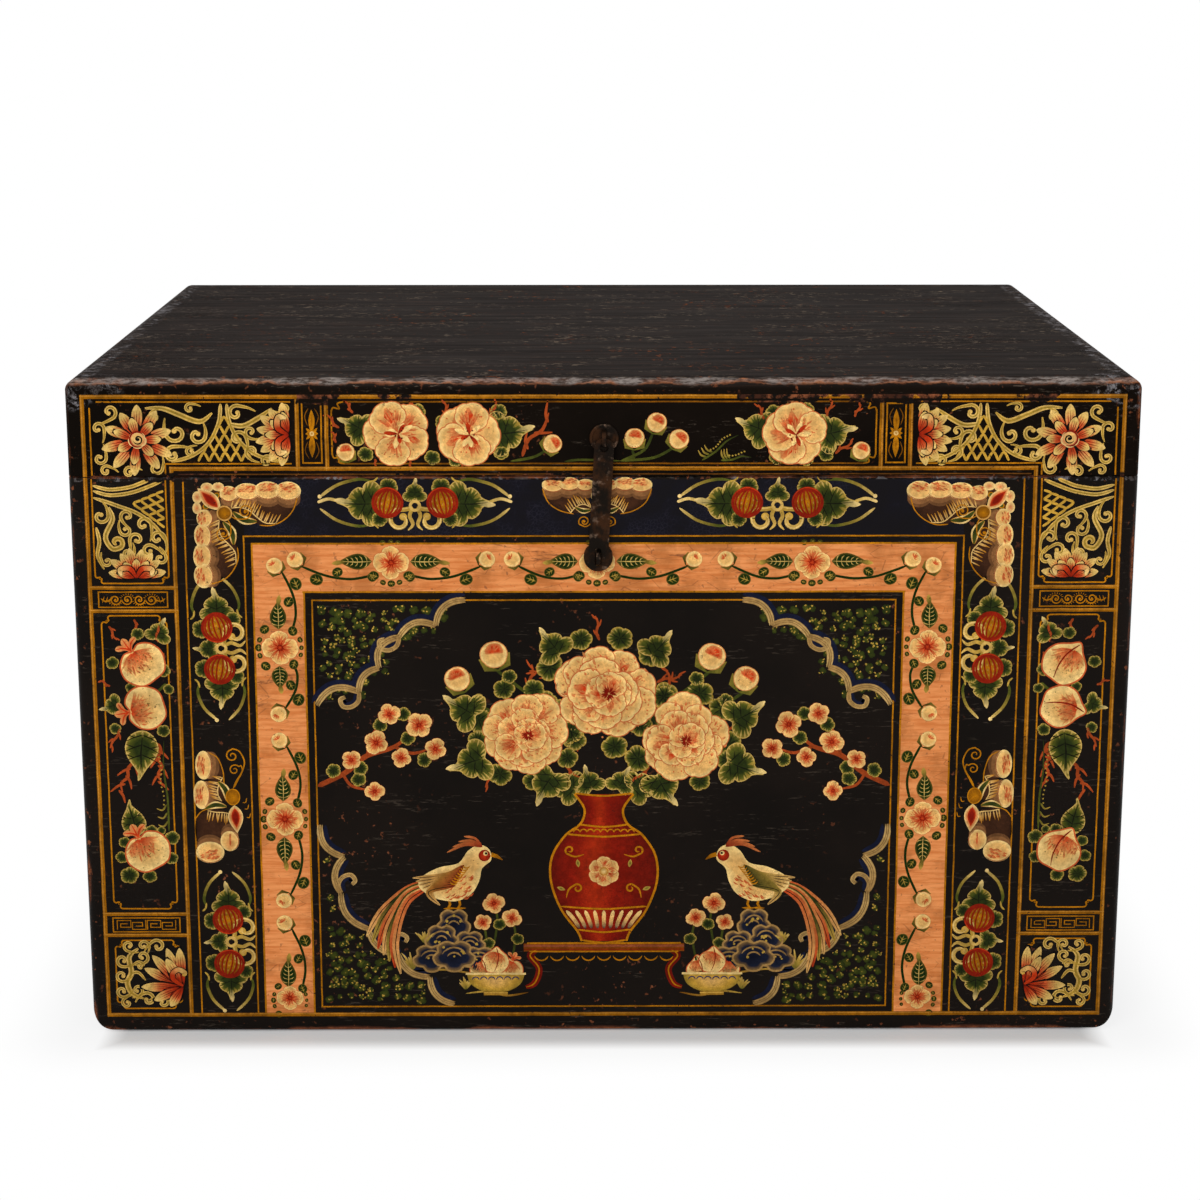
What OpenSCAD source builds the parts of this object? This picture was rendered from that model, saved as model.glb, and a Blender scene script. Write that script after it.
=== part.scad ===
// A lacquered opera chest: a dovetailed case with a deep hinged lid, a hanging hasp
// and a carrying handle on each end. Millimetres, +Z up, the painted front faces -Y.

/* [Chest] */
// Width over the two ends
chest_w = 920; // [760:10:1100]
// Depth from the front board to the back board
chest_d = 620; // [480:10:760]
// Height of the case from the floor to the seam under the lid
case_h = 510; // [420:5:640]
// Height of the lid from the seam to its top
lid_h = 86; // [80:1:130]

/* [Boards] */
// Thickness of the case's front, back and end boards
wall_t = 18; // [16:0.5:24]
// Thickness of the lid's rails, thinner than the walls so that the lid passes the lips
rail_t = 16; // [12:0.5:17]
// Thickness of the planks on top of the lid
top_t = 18; // [14:0.5:22]
// Thickness of the planks under the case
bottom_t = 16; // [12:0.5:22]
// Width of the front and the back plank in the lid and the bottom
outer_plank_w = 200; // [150:5:230]

/* [Rounded edges] */
// Radius of the lid's upper edge along each end
lid_end_r = 14; // [6:0.5:17]
// Radius of the lid's upper edge along the front and back
lid_front_r = 8; // [4:0.5:12]
// Radius of the case's lower edge along each end
foot_end_r = 24; // [10:1:30]
// Radius of the case's lower edge along the front and back
foot_front_r = 5; // [2:0.5:10]
// Radius of the four upright corners
corner_r = 9; // [4:0.5:12]
// Radius of the edges on both sides of the seam
seam_r = 2; // [1:0.25:4]

/* [Corner joints] */
// Number of dovetails in each corner of the case
case_tails = 6; // [4:1:9]
// Number of dovetails in each corner of the lid
lid_tails = 2; // [1:1:3]
// Share of each pitch that the wide end of a tail takes
tail_share = 0.62; // [0.5:0.02:0.7]
// Angle of the tail's sides in degrees
tail_angle = 9; // [6:0.5:12]

/* [Lips inside the rim] */
// Thickness of the lips that guide the lid
lip_t = 8; // [6:0.5:12]
// How far the lips stand above the rim
lip_up = 9; // [5:0.5:12]
// How far the lips reach down inside the case
lip_down = 26; // [18:1:40]

/* [Lid battens] */
// Width of each batten under the lid's planks
batten_w = 40; // [30:1:60]
// Thickness of each batten
batten_t = 16; // [10:0.5:20]
// Distance of each batten from the middle of the lid
batten_x = 225; // [160:5:280]

/* [Hasp] */
// Width of the hanging strap
strap_w = 17; // [14:0.5:22]
// Thickness of the straps
strap_t = 2.5; // [2:0.25:4]
// Distance from the strap's hole to the middle of its round end
strap_len = 96; // [85:1:110]
// Radius of the strap's round lower end
strap_disc_r = 12.5; // [11:0.5:15]
// Angle that the strap hangs off plumb
strap_lean = 3; // [0:0.5:4]
// Height of the hasp's pivot above the seam
hasp_up = 34; // [32:1:42]
// Length of the slot in the round end
slot_len = 16; // [15:0.5:18]
// Width of the slot in the round end
slot_w = 5.8; // [5.4:0.2:7]

/* [Roses and staples] */
// Radius of the round roses behind the hasp
rose_r = 12.5; // [11:0.5:16]
// Thickness of a rose at its middle
rose_t = 1.2; // [0.8:0.1:1.6]
// Height of a rose's raised rim
rose_rim = 2.2; // [1.8:0.1:2.8]
// Gap between a rose's rim and the strap that hangs over it
strap_gap = 0.45; // [0.3:0.05:1]
// Width of the strip that the staples are bent from
staple_w = 3.8; // [3.2:0.2:4.4]
// Thickness of that strip
staple_t = 2.6; // [2.2:0.1:2.8]
// Radius of the strip's edges
staple_edge_r = 0.6; // [0.3:0.1:0.9]
// Bend radius of the staples that carry a strap
pivot_bend = 6; // [5.5:0.25:7]
// Bend radius of the staple that takes the padlock
lock_bend = 4.4; // [4.2:0.1:5]
// How far the padlock's staple runs straight past the strap
lock_reach = 6; // [5:0.5:9]
// Radius of the hole in a strap that hangs on a staple
eye_r = 3.8; // [3.6:0.1:4.2]
// Clearance between the staple and the near side of that hole
eye_gap = 0.7; // [0.6:0.05:0.8]
// Clearance round a staple's legs where they pass a board or a rose
leg_gap = 0.15; // [0.1:0.05:0.3]
// Length of each clinched tail inside the chest
clinch_len = 12; // [8:1:16]

/* [Lid hinges] */
// Distance of each hinge from the middle of the back
hinge_x = 270; // [200:5:340]
// Depth of the hinge line below the seam
hinge_down = 16; // [14:1:20]
// Width of the hinge strap's leaf on the lid
leaf_w = 34; // [28:1:44]
// Height of the leaf's top above the seam
leaf_up = 60; // [50:1:64]
// Radius of the hinge strap's end round its hole
leaf_eye_r = 7.6; // [7:0.1:8]
// Relief that keeps the strap clear of the case's back board
leaf_relief = 0.5; // [0.3:0.1:0.8]

/* [Carrying handles] */
// Height of the handles' pivots above the floor
handle_z = 345; // [280:5:400]
// Distance of each arm of the bail from its middle
bail_half = 52; // [45:1:65]
// Drop of the bail's grip below its pivots
bail_drop = 52; // [45:1:70]
// Radius of the bail's bar
bail_r = 4; // [3.5:0.25:5]
// Radius of the bail's turned ends
bail_pin_r = 3; // [2.5:0.25:3.4]
// Bend radius of the bail's lower corners
bail_bend = 16; // [12:1:22]
// Distance of the handles' pivots from the end boards
bail_off = 10.5; // [10:0.5:13]
// Clearance between a turned end and its eye
bail_gap = 0.4; // [0.3:0.05:0.6]
// Radius of the wire that the eyes are made of
eye_wire_r = 2.2; // [1.8:0.1:2.5]
// Radius of the roses behind the handles
plate_r = 17; // [14:1:22]
// Radius of the knob at the end of each turned end
knob_r = 4.6; // [4:0.2:6]

/* [Nails] */
// Radius of the nails' shanks
nail_r = 1.4; // [1:0.1:2]
// Radius of the nails' heads
nail_head_r = 3.6; // [3:0.1:5]
// Height of the domed heads
nail_head_h = 1.4; // [1:0.1:2]
// Length of the nails that hold the planks
nail_len = 44; // [34:1:60]
// Depth that the small nails in lips, battens and hinges bite into what is behind
tack_bite = 9; // [6:0.5:11]
// Depth that the plank nails are sunk under the lacquer
nail_sink = 1; // [0.5:0.5:2]
// Number of nails along the front and along the back of the planks, none in the middle
nails_long = 8; // [4:2:10]
// Number of nails along each end of the planks
nails_short = 4; // [3:1:6]

/* [Hidden] */
$fn = 64;
ROUND = 48; // fineness of small round iron
BIG = 2000; // longer than the chest in any direction
PAST = 1; // what a cutting tool runs past a face

LACQUER = [0.09, 0.075, 0.065];
RAW_WOOD = [0.55, 0.40, 0.26];
IRON = [0.17, 0.13, 0.11];
NAIL_IRON = [0.22, 0.19, 0.17];

plane_off = rose_rim + strap_gap + strap_t / 2;      // strap's middle plane, out from the front
lock_arc = plane_off + strap_t / 2 + lock_reach;     // centre of the padlock staple's bend
lock_out = lock_arc + lock_bend + staple_t / 2;      // reach of the padlock's staple
hinge_off = leaf_relief + strap_t / 2;               // hinge line, out from the back
hinge_out = hinge_off + pivot_bend + staple_t / 2;   // reach of the hinge staples
case_y = (lock_out - hinge_out) / 2;                 // middle of the boards in the chest's own frame
front_y = case_y - chest_d / 2;
back_y = case_y + chest_d / 2;
end_x = chest_w / 2;
wall_z0 = bottom_t;
wall_h = case_h - bottom_t;
rail_h = lid_h - top_t;
top_z = case_h + rail_h;
lid_z1 = case_h + lid_h;
hasp_z = case_h + hasp_up;                           // line that the hasp swings on
// Distance of a strap's hole from the line that the strap swings on
eye_off = pivot_bend + eye_r - staple_t / 2 - eye_gap;
hasp_eye_z = hasp_z - eye_off;
lock_x = -strap_len * sin(strap_lean);
lock_z = hasp_eye_z - strap_len * cos(strap_lean);
hinge_z = case_h - hinge_down;                       // line that the lid swings on
hinge_y = back_y + hinge_off;
bail_x = end_x + bail_off;
bail_eye_y = bail_half + bail_r + eye_wire_r + 2;    // middle of each eye from the bail's middle
bail_end_y = bail_eye_y + eye_wire_r + 2;            // where the knob's neck ends
eye_ring_r = bail_pin_r + bail_gap + eye_wire_r;     // eye's bend radius
middle_plank_w = chest_d - 2 * outer_plank_w;
plank_starts = [0, outer_plank_w, outer_plank_w + middle_plank_w];
plank_widths = [outer_plank_w, middle_plank_w, outer_plank_w];

// A rectangle from x0 to x1 and from 0 up to h, with rounded lower and upper corners
module rounded_face(x0, x1, h, low_r, high_r) {
    difference() {
        translate([x0, 0]) square([x1 - x0, h]);
        for (side = [0, 1]) {
            x = side ? x1 : x0;
            turn = side ? -1 : 1;
            corner_cut(x, 0, turn, 1, low_r);
            corner_cut(x, h, turn, -1, high_r);
        }
    }
}

// What a rounded corner at (x, y) takes off; the solid lies towards sx and sy
module corner_cut(x, y, sx, sy, r) {
    translate([x, y]) scale([sx, sy]) difference() {
        translate([-PAST, -PAST]) square(r + PAST);
        translate([r, r]) circle(r);
    }
}

// The outer shape of a box that stands on z0, rounded along all its edges
module outer_shape(z0, h, end_low, end_high, front_low, front_high) {
    translate([0, 0, z0]) intersection() {
        translate([0, back_y, 0]) rotate([90, 0, 0])
            linear_extrude(chest_d) rounded_face(-end_x, end_x, h, end_low, end_high);
        translate([-end_x, 0, 0]) rotate([90, 0, 90])
            linear_extrude(chest_w) rounded_face(front_y, back_y, h, front_low, front_high);
        linear_extrude(h) translate([0, front_y])
            rounded_face(-end_x, end_x, chest_d, corner_r, corner_r);
    }
}

module case_shape() outer_shape(0, case_h, foot_end_r, seam_r, foot_front_r, seam_r);

module lid_shape() outer_shape(case_h, lid_h, seam_r, lid_end_r, seam_r, lid_front_r);

// The dovetails of one corner, seen from the front: wide at x = 0, narrow at x = t
module tail_faces(h, count, t) {
    pitch = h / count;
    wide = pitch * tail_share;
    narrow = wide - 2 * t * tan(tail_angle);
    for (i = [0:count - 1]) {
        z = (i + 0.5) * pitch;
        polygon([[-PAST, z - wide / 2], [0, z - wide / 2], [t, z - narrow / 2],
                 [t, z + narrow / 2], [0, z + wide / 2], [-PAST, z + wide / 2]]);
    }
}

// Dovetails at all four corners of a frame of height h that stands on z0
module all_tails(z0, h, count, t) {
    for (side = [-1, 1], y = [front_y - PAST, back_y - t])
        translate([side * end_x, y, z0]) mirror([side > 0 ? 1 : 0, 0, 0])
            translate([0, t + PAST, 0]) rotate([90, 0, 0])
                linear_extrude(t + PAST) tail_faces(h, count, t);
}

// Front or back board, with a row of tails at each end
module tailed_board(y, z0, h, count, t) {
    translate([-end_x + t, y, z0]) cube([chest_w - 2 * t, t, h]);
    intersection() {
        translate([-end_x, y, z0]) cube([chest_w, t, h]);
        all_tails(z0, h, count, t);
    }
}

// End board: its corners hold the pins between the tails
module pinned_board(x, z0, h, count, t) {
    difference() {
        translate([x, front_y, z0]) cube([t, chest_d, h]);
        all_tails(z0, h, count, t);
    }
}

// Holes for a staple's two legs through a board or rose, along Y
module leg_holes(x, z, bend) {
    for (s = [-1, 1])
        translate([x, 0, z + s * bend])
            cube([staple_w + 2 * leg_gap, BIG, staple_t + 2 * leg_gap], center = true);
}

module case_front() color(LACQUER) difference() {
    intersection() {
        tailed_board(front_y, wall_z0, wall_h, case_tails, wall_t);
        case_shape();
    }
    intersection() {
        leg_holes(lock_x, lock_z, lock_bend);
        translate([-BIG / 2, front_y - BIG, 0]) cube([BIG, BIG + wall_t + PAST, BIG]);
    }
}

module case_back() color(LACQUER) difference() {
    intersection() {
        tailed_board(back_y - wall_t, wall_z0, wall_h, case_tails, wall_t);
        case_shape();
    }
    for (x = [-hinge_x, hinge_x]) intersection() {
        leg_holes(x, hinge_z, pivot_bend);
        translate([-BIG / 2, back_y - wall_t - PAST, 0]) cube([BIG, BIG, BIG]);
    }
}

module case_end(side) color(LACQUER) difference() {
    intersection() {
        pinned_board(side > 0 ? end_x - wall_t : -end_x, wall_z0, wall_h, case_tails, wall_t);
        case_shape();
    }
    for (y = [-bail_eye_y, bail_eye_y])
        translate([side * (end_x - wall_t / 2), case_y + y, handle_z]) rotate([0, 90, 0])
            cylinder(h = wall_t + 2 * PAST, r = eye_wire_r + leg_gap, center = true, $fn = ROUND);
}

// One of three planks that run the width of the chest; place is 0 front, 1 middle, 2 back
module plank(place, z, t)
    translate([-end_x, front_y + plank_starts[place], z]) cube([chest_w, plank_widths[place], t]);

module bottom_plank(place) color(RAW_WOOD) intersection() {
    plank(place, 0, bottom_t);
    case_shape();
}

module lid_plank(place) color(LACQUER) intersection() {
    plank(place, top_z, top_t);
    lid_shape();
}

// How far a rounded edge of radius r has dropped at a distance in from its side
function edge_drop(r, inset) = inset < r ? r - sqrt(r * r - (r - inset) * (r - inset)) : 0;

// Plank nails round the frame, sunk under its rounded edges of radius end_r and long_r;
// way is 1 for heads on top and -1 for heads below, t is the thickness of the boards they enter
module plank_nails(z, way, t, end_r, long_r) {
    inset = t - nail_head_r;
    corner = 3 * t;
    module one(x, y, r) {
        sink = nail_sink + edge_drop(r, inset - nail_head_r);
        translate([x, y, z - way * sink]) mirror([0, 0, way > 0 ? 1 : 0]) {
            cylinder(h = nail_head_h, r = nail_head_r, $fn = ROUND);
            cylinder(h = nail_len - sink, r = nail_r, $fn = ROUND);
        }
    }
    color(NAIL_IRON) {
        for (i = [0:nails_long - 1], y = [front_y + inset, back_y - inset])
            one((2 * i / (nails_long - 1) - 1) * (end_x - corner), y, long_r);
        for (i = [0:nails_short - 1], x = [-end_x + inset, end_x - inset])
            one(x, case_y + (2 * i / (nails_short - 1) - 1) * (chest_d / 2 - corner), end_r);
    }
}

module bottom_nails() plank_nails(0, -1, wall_t, foot_end_r, foot_front_r);

module lid_nails() plank_nails(lid_z1, 1, rail_t, lid_end_r, lid_front_r);

lip_z = case_h - lip_down;
lip_h = lip_down + lip_up;
lip_back_y = back_y - wall_t;
lip_front_y = front_y + wall_t;

module lip_front() color(RAW_WOOD)
    translate([-end_x + wall_t, lip_front_y, lip_z])
        cube([chest_w - 2 * wall_t, lip_t, lip_h]);

module lip_end(side) color(RAW_WOOD)
    translate([side > 0 ? end_x - wall_t - lip_t : -end_x + wall_t, lip_front_y + lip_t, lip_z])
        cube([lip_t, lip_back_y - lip_front_y - lip_t, lip_h]);

// A small nail with a domed head that points along +Z; it goes through a piece of thickness t
module tack(t) color(NAIL_IRON) {
    shank = t + tack_bite;
    intersection() {
        translate([0, 0, nail_head_h - 2 * nail_head_r]) sphere(r = 2 * nail_head_r, $fn = ROUND);
        cylinder(h = 2 * nail_head_h, r = nail_head_r, $fn = ROUND);
    }
    translate([0, 0, -shank]) cylinder(h = shank + nail_head_h / 2, r = nail_r, $fn = ROUND);
}

module lip_nails() {
    z = case_h - lip_down / 2;
    for (x = [-3:2:3])
        translate([x * chest_w / 9, lip_front_y + lip_t, z]) rotate([-90, 0, 0]) tack(lip_t);
    for (side = [-1, 1], y = [-1:1])
        translate([side * (end_x - wall_t - lip_t), case_y + y * chest_d / 3.4, z])
            rotate([0, -side * 90, 0]) tack(lip_t);
}

module lid_front_rail() color(LACQUER) difference() {
    intersection() {
        tailed_board(front_y, case_h, rail_h, lid_tails, rail_t);
        lid_shape();
    }
    intersection() {
        leg_holes(0, hasp_z, pivot_bend);
        translate([-BIG / 2, front_y - BIG, 0]) cube([BIG, BIG + rail_t + PAST, BIG]);
    }
}

module lid_back_rail() color(LACQUER) intersection() {
    tailed_board(back_y - rail_t, case_h, rail_h, lid_tails, rail_t);
    lid_shape();
}

module lid_end_rail(side) color(LACQUER) intersection() {
    pinned_board(side > 0 ? end_x - rail_t : -end_x, case_h, rail_h, lid_tails, rail_t);
    lid_shape();
}

module lid_batten(side) color(RAW_WOOD)
    translate([side * batten_x - batten_w / 2, front_y + rail_t, top_z - batten_t])
        cube([batten_w, chest_d - 2 * rail_t, batten_t]);

// Two nails through each batten into each plank
module batten_nails() {
    for (side = [-1, 1], place = [0:2], share = [0.3, 0.7]) {
        y = front_y + plank_starts[place] + share * plank_widths[place];
        translate([side * batten_x, y, top_z - batten_t]) rotate([180, 0, 0]) tack(batten_t);
    }
}

// A round iron plate in the XY plane, dished, with a raised rim; its back is at z = 0
module rose(r) color(IRON) rotate_extrude($fn = 96) difference() {
    union() {
        square([r, rose_t]);
        translate([r - rose_rim, 0]) square([rose_rim - rose_rim / 2, rose_rim]);
        translate([r - rose_rim / 2, rose_rim / 2]) circle(rose_rim / 2, $fn = ROUND);
    }
    translate([-BIG, -PAST]) square([BIG, BIG]);
}

// A rose on the front, with holes for a staple's legs
module front_rose(x, z, bend) difference() {
    translate([x, front_y, z]) rotate([90, 0, 0]) rose(rose_r);
    leg_holes(x, z, bend);
}

module hasp_rose() color(IRON) front_rose(0, hasp_z, pivot_bend);

module lock_rose() color(IRON) front_rose(lock_x, lock_z, lock_bend);

// A round bar of wire that points along +Z
module wire(r, h) cylinder(h = h, r = r, $fn = ROUND);

// Section of a staple's strip with rounded edges: thickness along X, width along Y
module strip_face() {
    inner_t = staple_t - 2 * staple_edge_r;
    inner_w = staple_w - 2 * staple_edge_r;
    square([inner_t, staple_w], center = true);
    square([staple_t, inner_w], center = true);
    for (x = [-1, 1], y = [-1, 1])
        translate([x * inner_t / 2, y * inner_w / 2]) circle(staple_edge_r, $fn = ROUND);
}

// A staple in the YZ plane whose bend is centred on the origin and opens towards +Y;
// the legs run leg far, then turn along the board's inner side
module staple(bend, leg) color(IRON) {
    rotate([90, 0, -90]) rotate([0, 0, -90]) rotate_extrude(angle = 180, $fn = 96)
        translate([bend, 0]) strip_face();
    for (s = [-1, 1]) translate([0, 0, s * bend]) {
        rotate([-90, 0, 0]) linear_extrude(leg) rotate(90) strip_face();
        translate([0, leg, 0]) rotate([0, 90, 0])
            cylinder(h = staple_w, r = staple_t / 2, center = true, $fn = ROUND);
        translate([0, leg, 0]) mirror([0, 0, s < 0 ? 1 : 0])
            linear_extrude(clinch_len) rotate(90) strip_face();
    }
}

// Length of a leg that stands off far in front of a board of thickness t and turns behind it
function leg_through(off, t, half) = off + t + half + leg_gap;

module hasp_staple() translate([0, front_y - plane_off, hasp_z])
    staple(pivot_bend, leg_through(plane_off, rail_t, staple_t / 2));

module lock_staple() translate([lock_x, front_y - lock_arc, lock_z])
    staple(lock_bend, leg_through(lock_arc, wall_t, staple_t / 2));

module hinge_staple(side) translate([side * hinge_x, hinge_y, hinge_z]) rotate([0, 0, 180])
    staple(pivot_bend, leg_through(hinge_off, wall_t, staple_t / 2));

// The hanging strap seen from the front, with its hole at the origin
module strap_face() difference() {
    rotate([0, 0, -strap_lean]) {
        circle(strap_w / 2);
        translate([-strap_w / 2, -strap_len]) square([strap_w, strap_len]);
        translate([0, -strap_len]) circle(strap_disc_r);
    }
    circle(eye_r, $fn = ROUND);
    translate([lock_x, -strap_len * cos(strap_lean)]) {
        square([slot_w, slot_len - slot_w], center = true);
        for (s = [-1, 1]) translate([0, s * (slot_len - slot_w) / 2]) circle(slot_w / 2, $fn = ROUND);
    }
}

module hasp_strap() color(IRON)
    translate([0, front_y - plane_off + strap_t / 2, hasp_eye_z]) rotate([90, 0, 0])
        linear_extrude(strap_t) strap_face();

// The hinge strap seen from behind, with its hole at the origin and the leaf above it
module leaf_face(top) {
    neck_h = top - leaf_w / 2;
    circle(leaf_eye_r);
    translate([-leaf_eye_r, 0]) square([leaf_eye_r * 2, neck_h]);
    translate([-leaf_w / 2, hinge_down]) square([leaf_w, neck_h - hinge_down]);
    translate([0, neck_h]) circle(leaf_w / 2);
}

module hinge_strap(side) {
    hole_z = hinge_z + eye_off;
    top = case_h + leaf_up - hole_z;
    color(IRON) translate([side * hinge_x, back_y, hole_z]) difference() {
        translate([0, strap_t + leaf_relief, 0]) rotate([90, 0, 0])
            linear_extrude(strap_t + leaf_relief) leaf_face(top);
        translate([-BIG / 2, -BIG, -BIG]) cube([BIG, BIG + leaf_relief, BIG + case_h - hole_z]);
        rotate([90, 0, 0]) cylinder(h = BIG, r = eye_r, center = true, $fn = ROUND);
    }
}

module hinge_nails(side) {
    spots = [[-leaf_w / 3.4, 14], [leaf_w / 3.4, 14], [0, leaf_up - leaf_w / 2.6]];
    for (p = spots)
        translate([side * hinge_x + p[0], back_y + strap_t + leaf_relief, case_h + p[1]])
            rotate([-90, 0, 0]) tack(strap_t + leaf_relief);
}

// A quarter bend of round bar in the YZ plane, centred on the origin, from +Y to -Z
module quarter_bend(bend, r)
    rotate([0, 90, 0]) rotate_extrude(angle = 90, $fn = 96) translate([bend, 0]) circle(r, $fn = ROUND);

module bail_half_shape() {
    arm_h = bail_drop - bail_bend;
    grip = bail_half - bail_bend;
    translate([0, 0, -bail_drop]) rotate([-90, 0, 0]) wire(bail_r, grip);
    translate([0, grip, -arm_h]) quarter_bend(bail_bend, bail_r);
    translate([0, bail_half, -arm_h]) wire(bail_r, arm_h);
    translate([0, bail_half, 0]) sphere(bail_r, $fn = ROUND);
    translate([0, bail_half, 0]) rotate([-90, 0, 0]) wire(bail_pin_r, bail_end_y - bail_half);
    translate([0, bail_end_y + knob_r / 2, 0]) sphere(knob_r, $fn = ROUND);
}

module handle_bail(side) color(IRON) translate([side * bail_x, case_y, handle_z]) {
    bail_half_shape();
    mirror([0, 1, 0]) bail_half_shape();
}

// An eye round each turned end, with a shank that is clinched inside the end board
module handle_eyes(side) color(IRON) for (s = [-1, 1])
    translate([side * bail_x, case_y + s * bail_eye_y, handle_z]) mirror([side > 0 ? 1 : 0, 0, 0]) {
        shank = leg_through(bail_off, wall_t, eye_wire_r);
        rotate([90, 0, 0]) rotate_extrude($fn = 96)
            translate([eye_ring_r, 0]) circle(eye_wire_r, $fn = ROUND);
        translate([eye_ring_r, 0, 0]) rotate([0, 90, 0]) wire(eye_wire_r, shank - eye_ring_r);
        translate([shank, 0, 0]) sphere(eye_wire_r, $fn = ROUND);
        translate([shank, 0, -clinch_len]) wire(eye_wire_r, clinch_len);
    }

module handle_roses(side) color(IRON) difference() {
    for (s = [-1, 1])
        translate([side * end_x, case_y + s * bail_eye_y, handle_z]) rotate([0, side * 90, 0])
            rose(plate_r);
    for (s = [-1, 1])
        translate([side * end_x, case_y + s * bail_eye_y, handle_z]) rotate([0, 90, 0])
            cylinder(h = 4 * rose_rim, r = eye_wire_r + leg_gap, center = true, $fn = ROUND);
}

case_front();
case_back();
case_end(-1);  // case_left_end
case_end(1);  // case_right_end
bottom_plank(0);  // bottom_plank_front
bottom_plank(1);  // bottom_plank_middle
bottom_plank(2);  // bottom_plank_back
bottom_nails();
lip_front();
lip_end(-1);  // lip_left
lip_end(1);  // lip_right
lip_nails();
lid_front_rail();
lid_back_rail();
lid_end_rail(-1);  // lid_left_rail
lid_end_rail(1);  // lid_right_rail
lid_plank(0);  // lid_plank_front
lid_plank(1);  // lid_plank_middle
lid_plank(2);  // lid_plank_back
lid_nails();
lid_batten(-1);  // lid_batten_left
lid_batten(1);  // lid_batten_right
batten_nails();
hasp_rose();
hasp_staple();
hasp_strap();
lock_rose();
lock_staple();
hinge_strap(-1);  // hinge_strap_left
hinge_strap(1);  // hinge_strap_right
hinge_staple(-1);  // hinge_staple_left
hinge_staple(1);  // hinge_staple_right
hinge_nails(-1);  // hinge_nails_left
hinge_nails(1);  // hinge_nails_right
handle_bail(-1);  // left_handle_bail
handle_eyes(-1);  // left_handle_eyes
handle_roses(-1);  // left_handle_roses
handle_bail(1);  // right_handle_bail
handle_eyes(1);  // right_handle_eyes
handle_roses(1);  // right_handle_roses
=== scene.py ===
"""A lacquered opera chest: the finish of its boards and iron, and the painting on its front."""
from math import cos, degrees, dist, hypot, log, pi, radians, sin, sqrt
import random

import bpy
from mathutils import Matrix, Vector, noise


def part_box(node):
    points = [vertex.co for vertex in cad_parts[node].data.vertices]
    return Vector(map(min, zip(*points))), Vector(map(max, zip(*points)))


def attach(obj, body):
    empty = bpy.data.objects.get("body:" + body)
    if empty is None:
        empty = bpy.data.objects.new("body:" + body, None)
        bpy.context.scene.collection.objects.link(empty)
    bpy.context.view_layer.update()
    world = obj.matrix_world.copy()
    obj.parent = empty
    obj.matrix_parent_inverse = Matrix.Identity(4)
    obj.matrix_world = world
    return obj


bl_info = {
    "name": "Opera Chest Finish",
    "version": (1, 0, 0),
    "blender": (4, 5, 0),
    "location": "3D View > Sidebar > Opera Chest",
    "description": "Lacquers, paints and lights the opera chest on its packed frame",
    "category": "Object",
}

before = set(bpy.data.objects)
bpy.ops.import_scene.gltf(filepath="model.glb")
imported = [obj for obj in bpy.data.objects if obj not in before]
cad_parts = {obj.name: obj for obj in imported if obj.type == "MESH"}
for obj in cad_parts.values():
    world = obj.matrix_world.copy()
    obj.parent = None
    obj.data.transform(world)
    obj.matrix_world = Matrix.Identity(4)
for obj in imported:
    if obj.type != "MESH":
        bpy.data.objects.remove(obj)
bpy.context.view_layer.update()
noise.seed_set(5)

MM = 0.001
FRONT_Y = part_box("case_front")[0].y
BACK_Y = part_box("case_back")[1].y
END_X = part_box("case_front")[1].x
BOARD = 0.018
SEAM_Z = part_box("case_front")[1].z
LID_TOP_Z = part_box("lid_plank_front")[1].z
MIDDLE_Y = (FRONT_Y + BACK_Y) / 2
HALF_DEPTH = (BACK_Y - FRONT_Y) / 2
SEAM = SEAM_Z / MM
SEAM_GAP = 2.2
DULL_SHINE = 0.035
NO_SHINE = 0.0003


# Colours

def linear(code):
    """The linear colour of a six-digit sRGB code."""
    shares = [int(code[i:i + 2], 16) / 255 for i in (0, 2, 4)]
    return tuple(s / 12.92 if s <= 0.04045 else ((s + 0.055) / 1.055) ** 2.4 for s in shares)


def tone(name, code, note):
    """A colour property with its default as a six-digit code."""
    return bpy.props.FloatVectorProperty(name=name, description=note, default=linear(code),
        size=3, subtype="COLOR", min=0, max=1)


def length(name, value, note):
    """A length property whose default is in metres."""
    return bpy.props.FloatProperty(name=name, description=note, default=value, unit="LENGTH")


class ChestPaints(bpy.types.PropertyGroup):
    """Colours of the painting."""
    gold: tone("Gold", "c27a0a", "Lines and fine scrolls")
    ochre: tone("Ochre", "865008", "Shaded gold")
    cream: tone("Cream", "f0ba6c", "Petals and birds")
    pale: tone("Pale cream", "ffda8c", "Lightest touches on petals")
    scroll: tone("Scroll", "d2a23c", "Scrollwork in the corner panels")
    salmon: tone("Salmon", "d0783e", "Broad band round the picture")
    red: tone("Melon red", "8a1a0a", "Melons and the lines on them")
    wash: tone("Red wash", "cc3b14", "Shading on petals and fruit")
    coral: tone("Coral", "b04a1e", "Twigs")
    leaf: tone("Leaf", "2a3312", "Middle of a leaf")
    leaf_mid: tone("Leaf tint", "56591c", "Between the middle and the rim of a leaf")
    leaf_rim: tone("Leaf rim", "c49e42", "Rim and veins of a leaf")
    vine: tone("Vine", "1a2c08", "Leaves and stems on the salmon band")
    night: tone("Night blue", "0f0e18", "Ground of the top strip")
    brown: tone("Wing brown", "442818", "Dark part of a wing")
    tan: tone("Wing tan", "8f6038", "Light part of a wing")
    ground: tone("Ground", "0e0a08", "Black lacquer under the painting")


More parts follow.
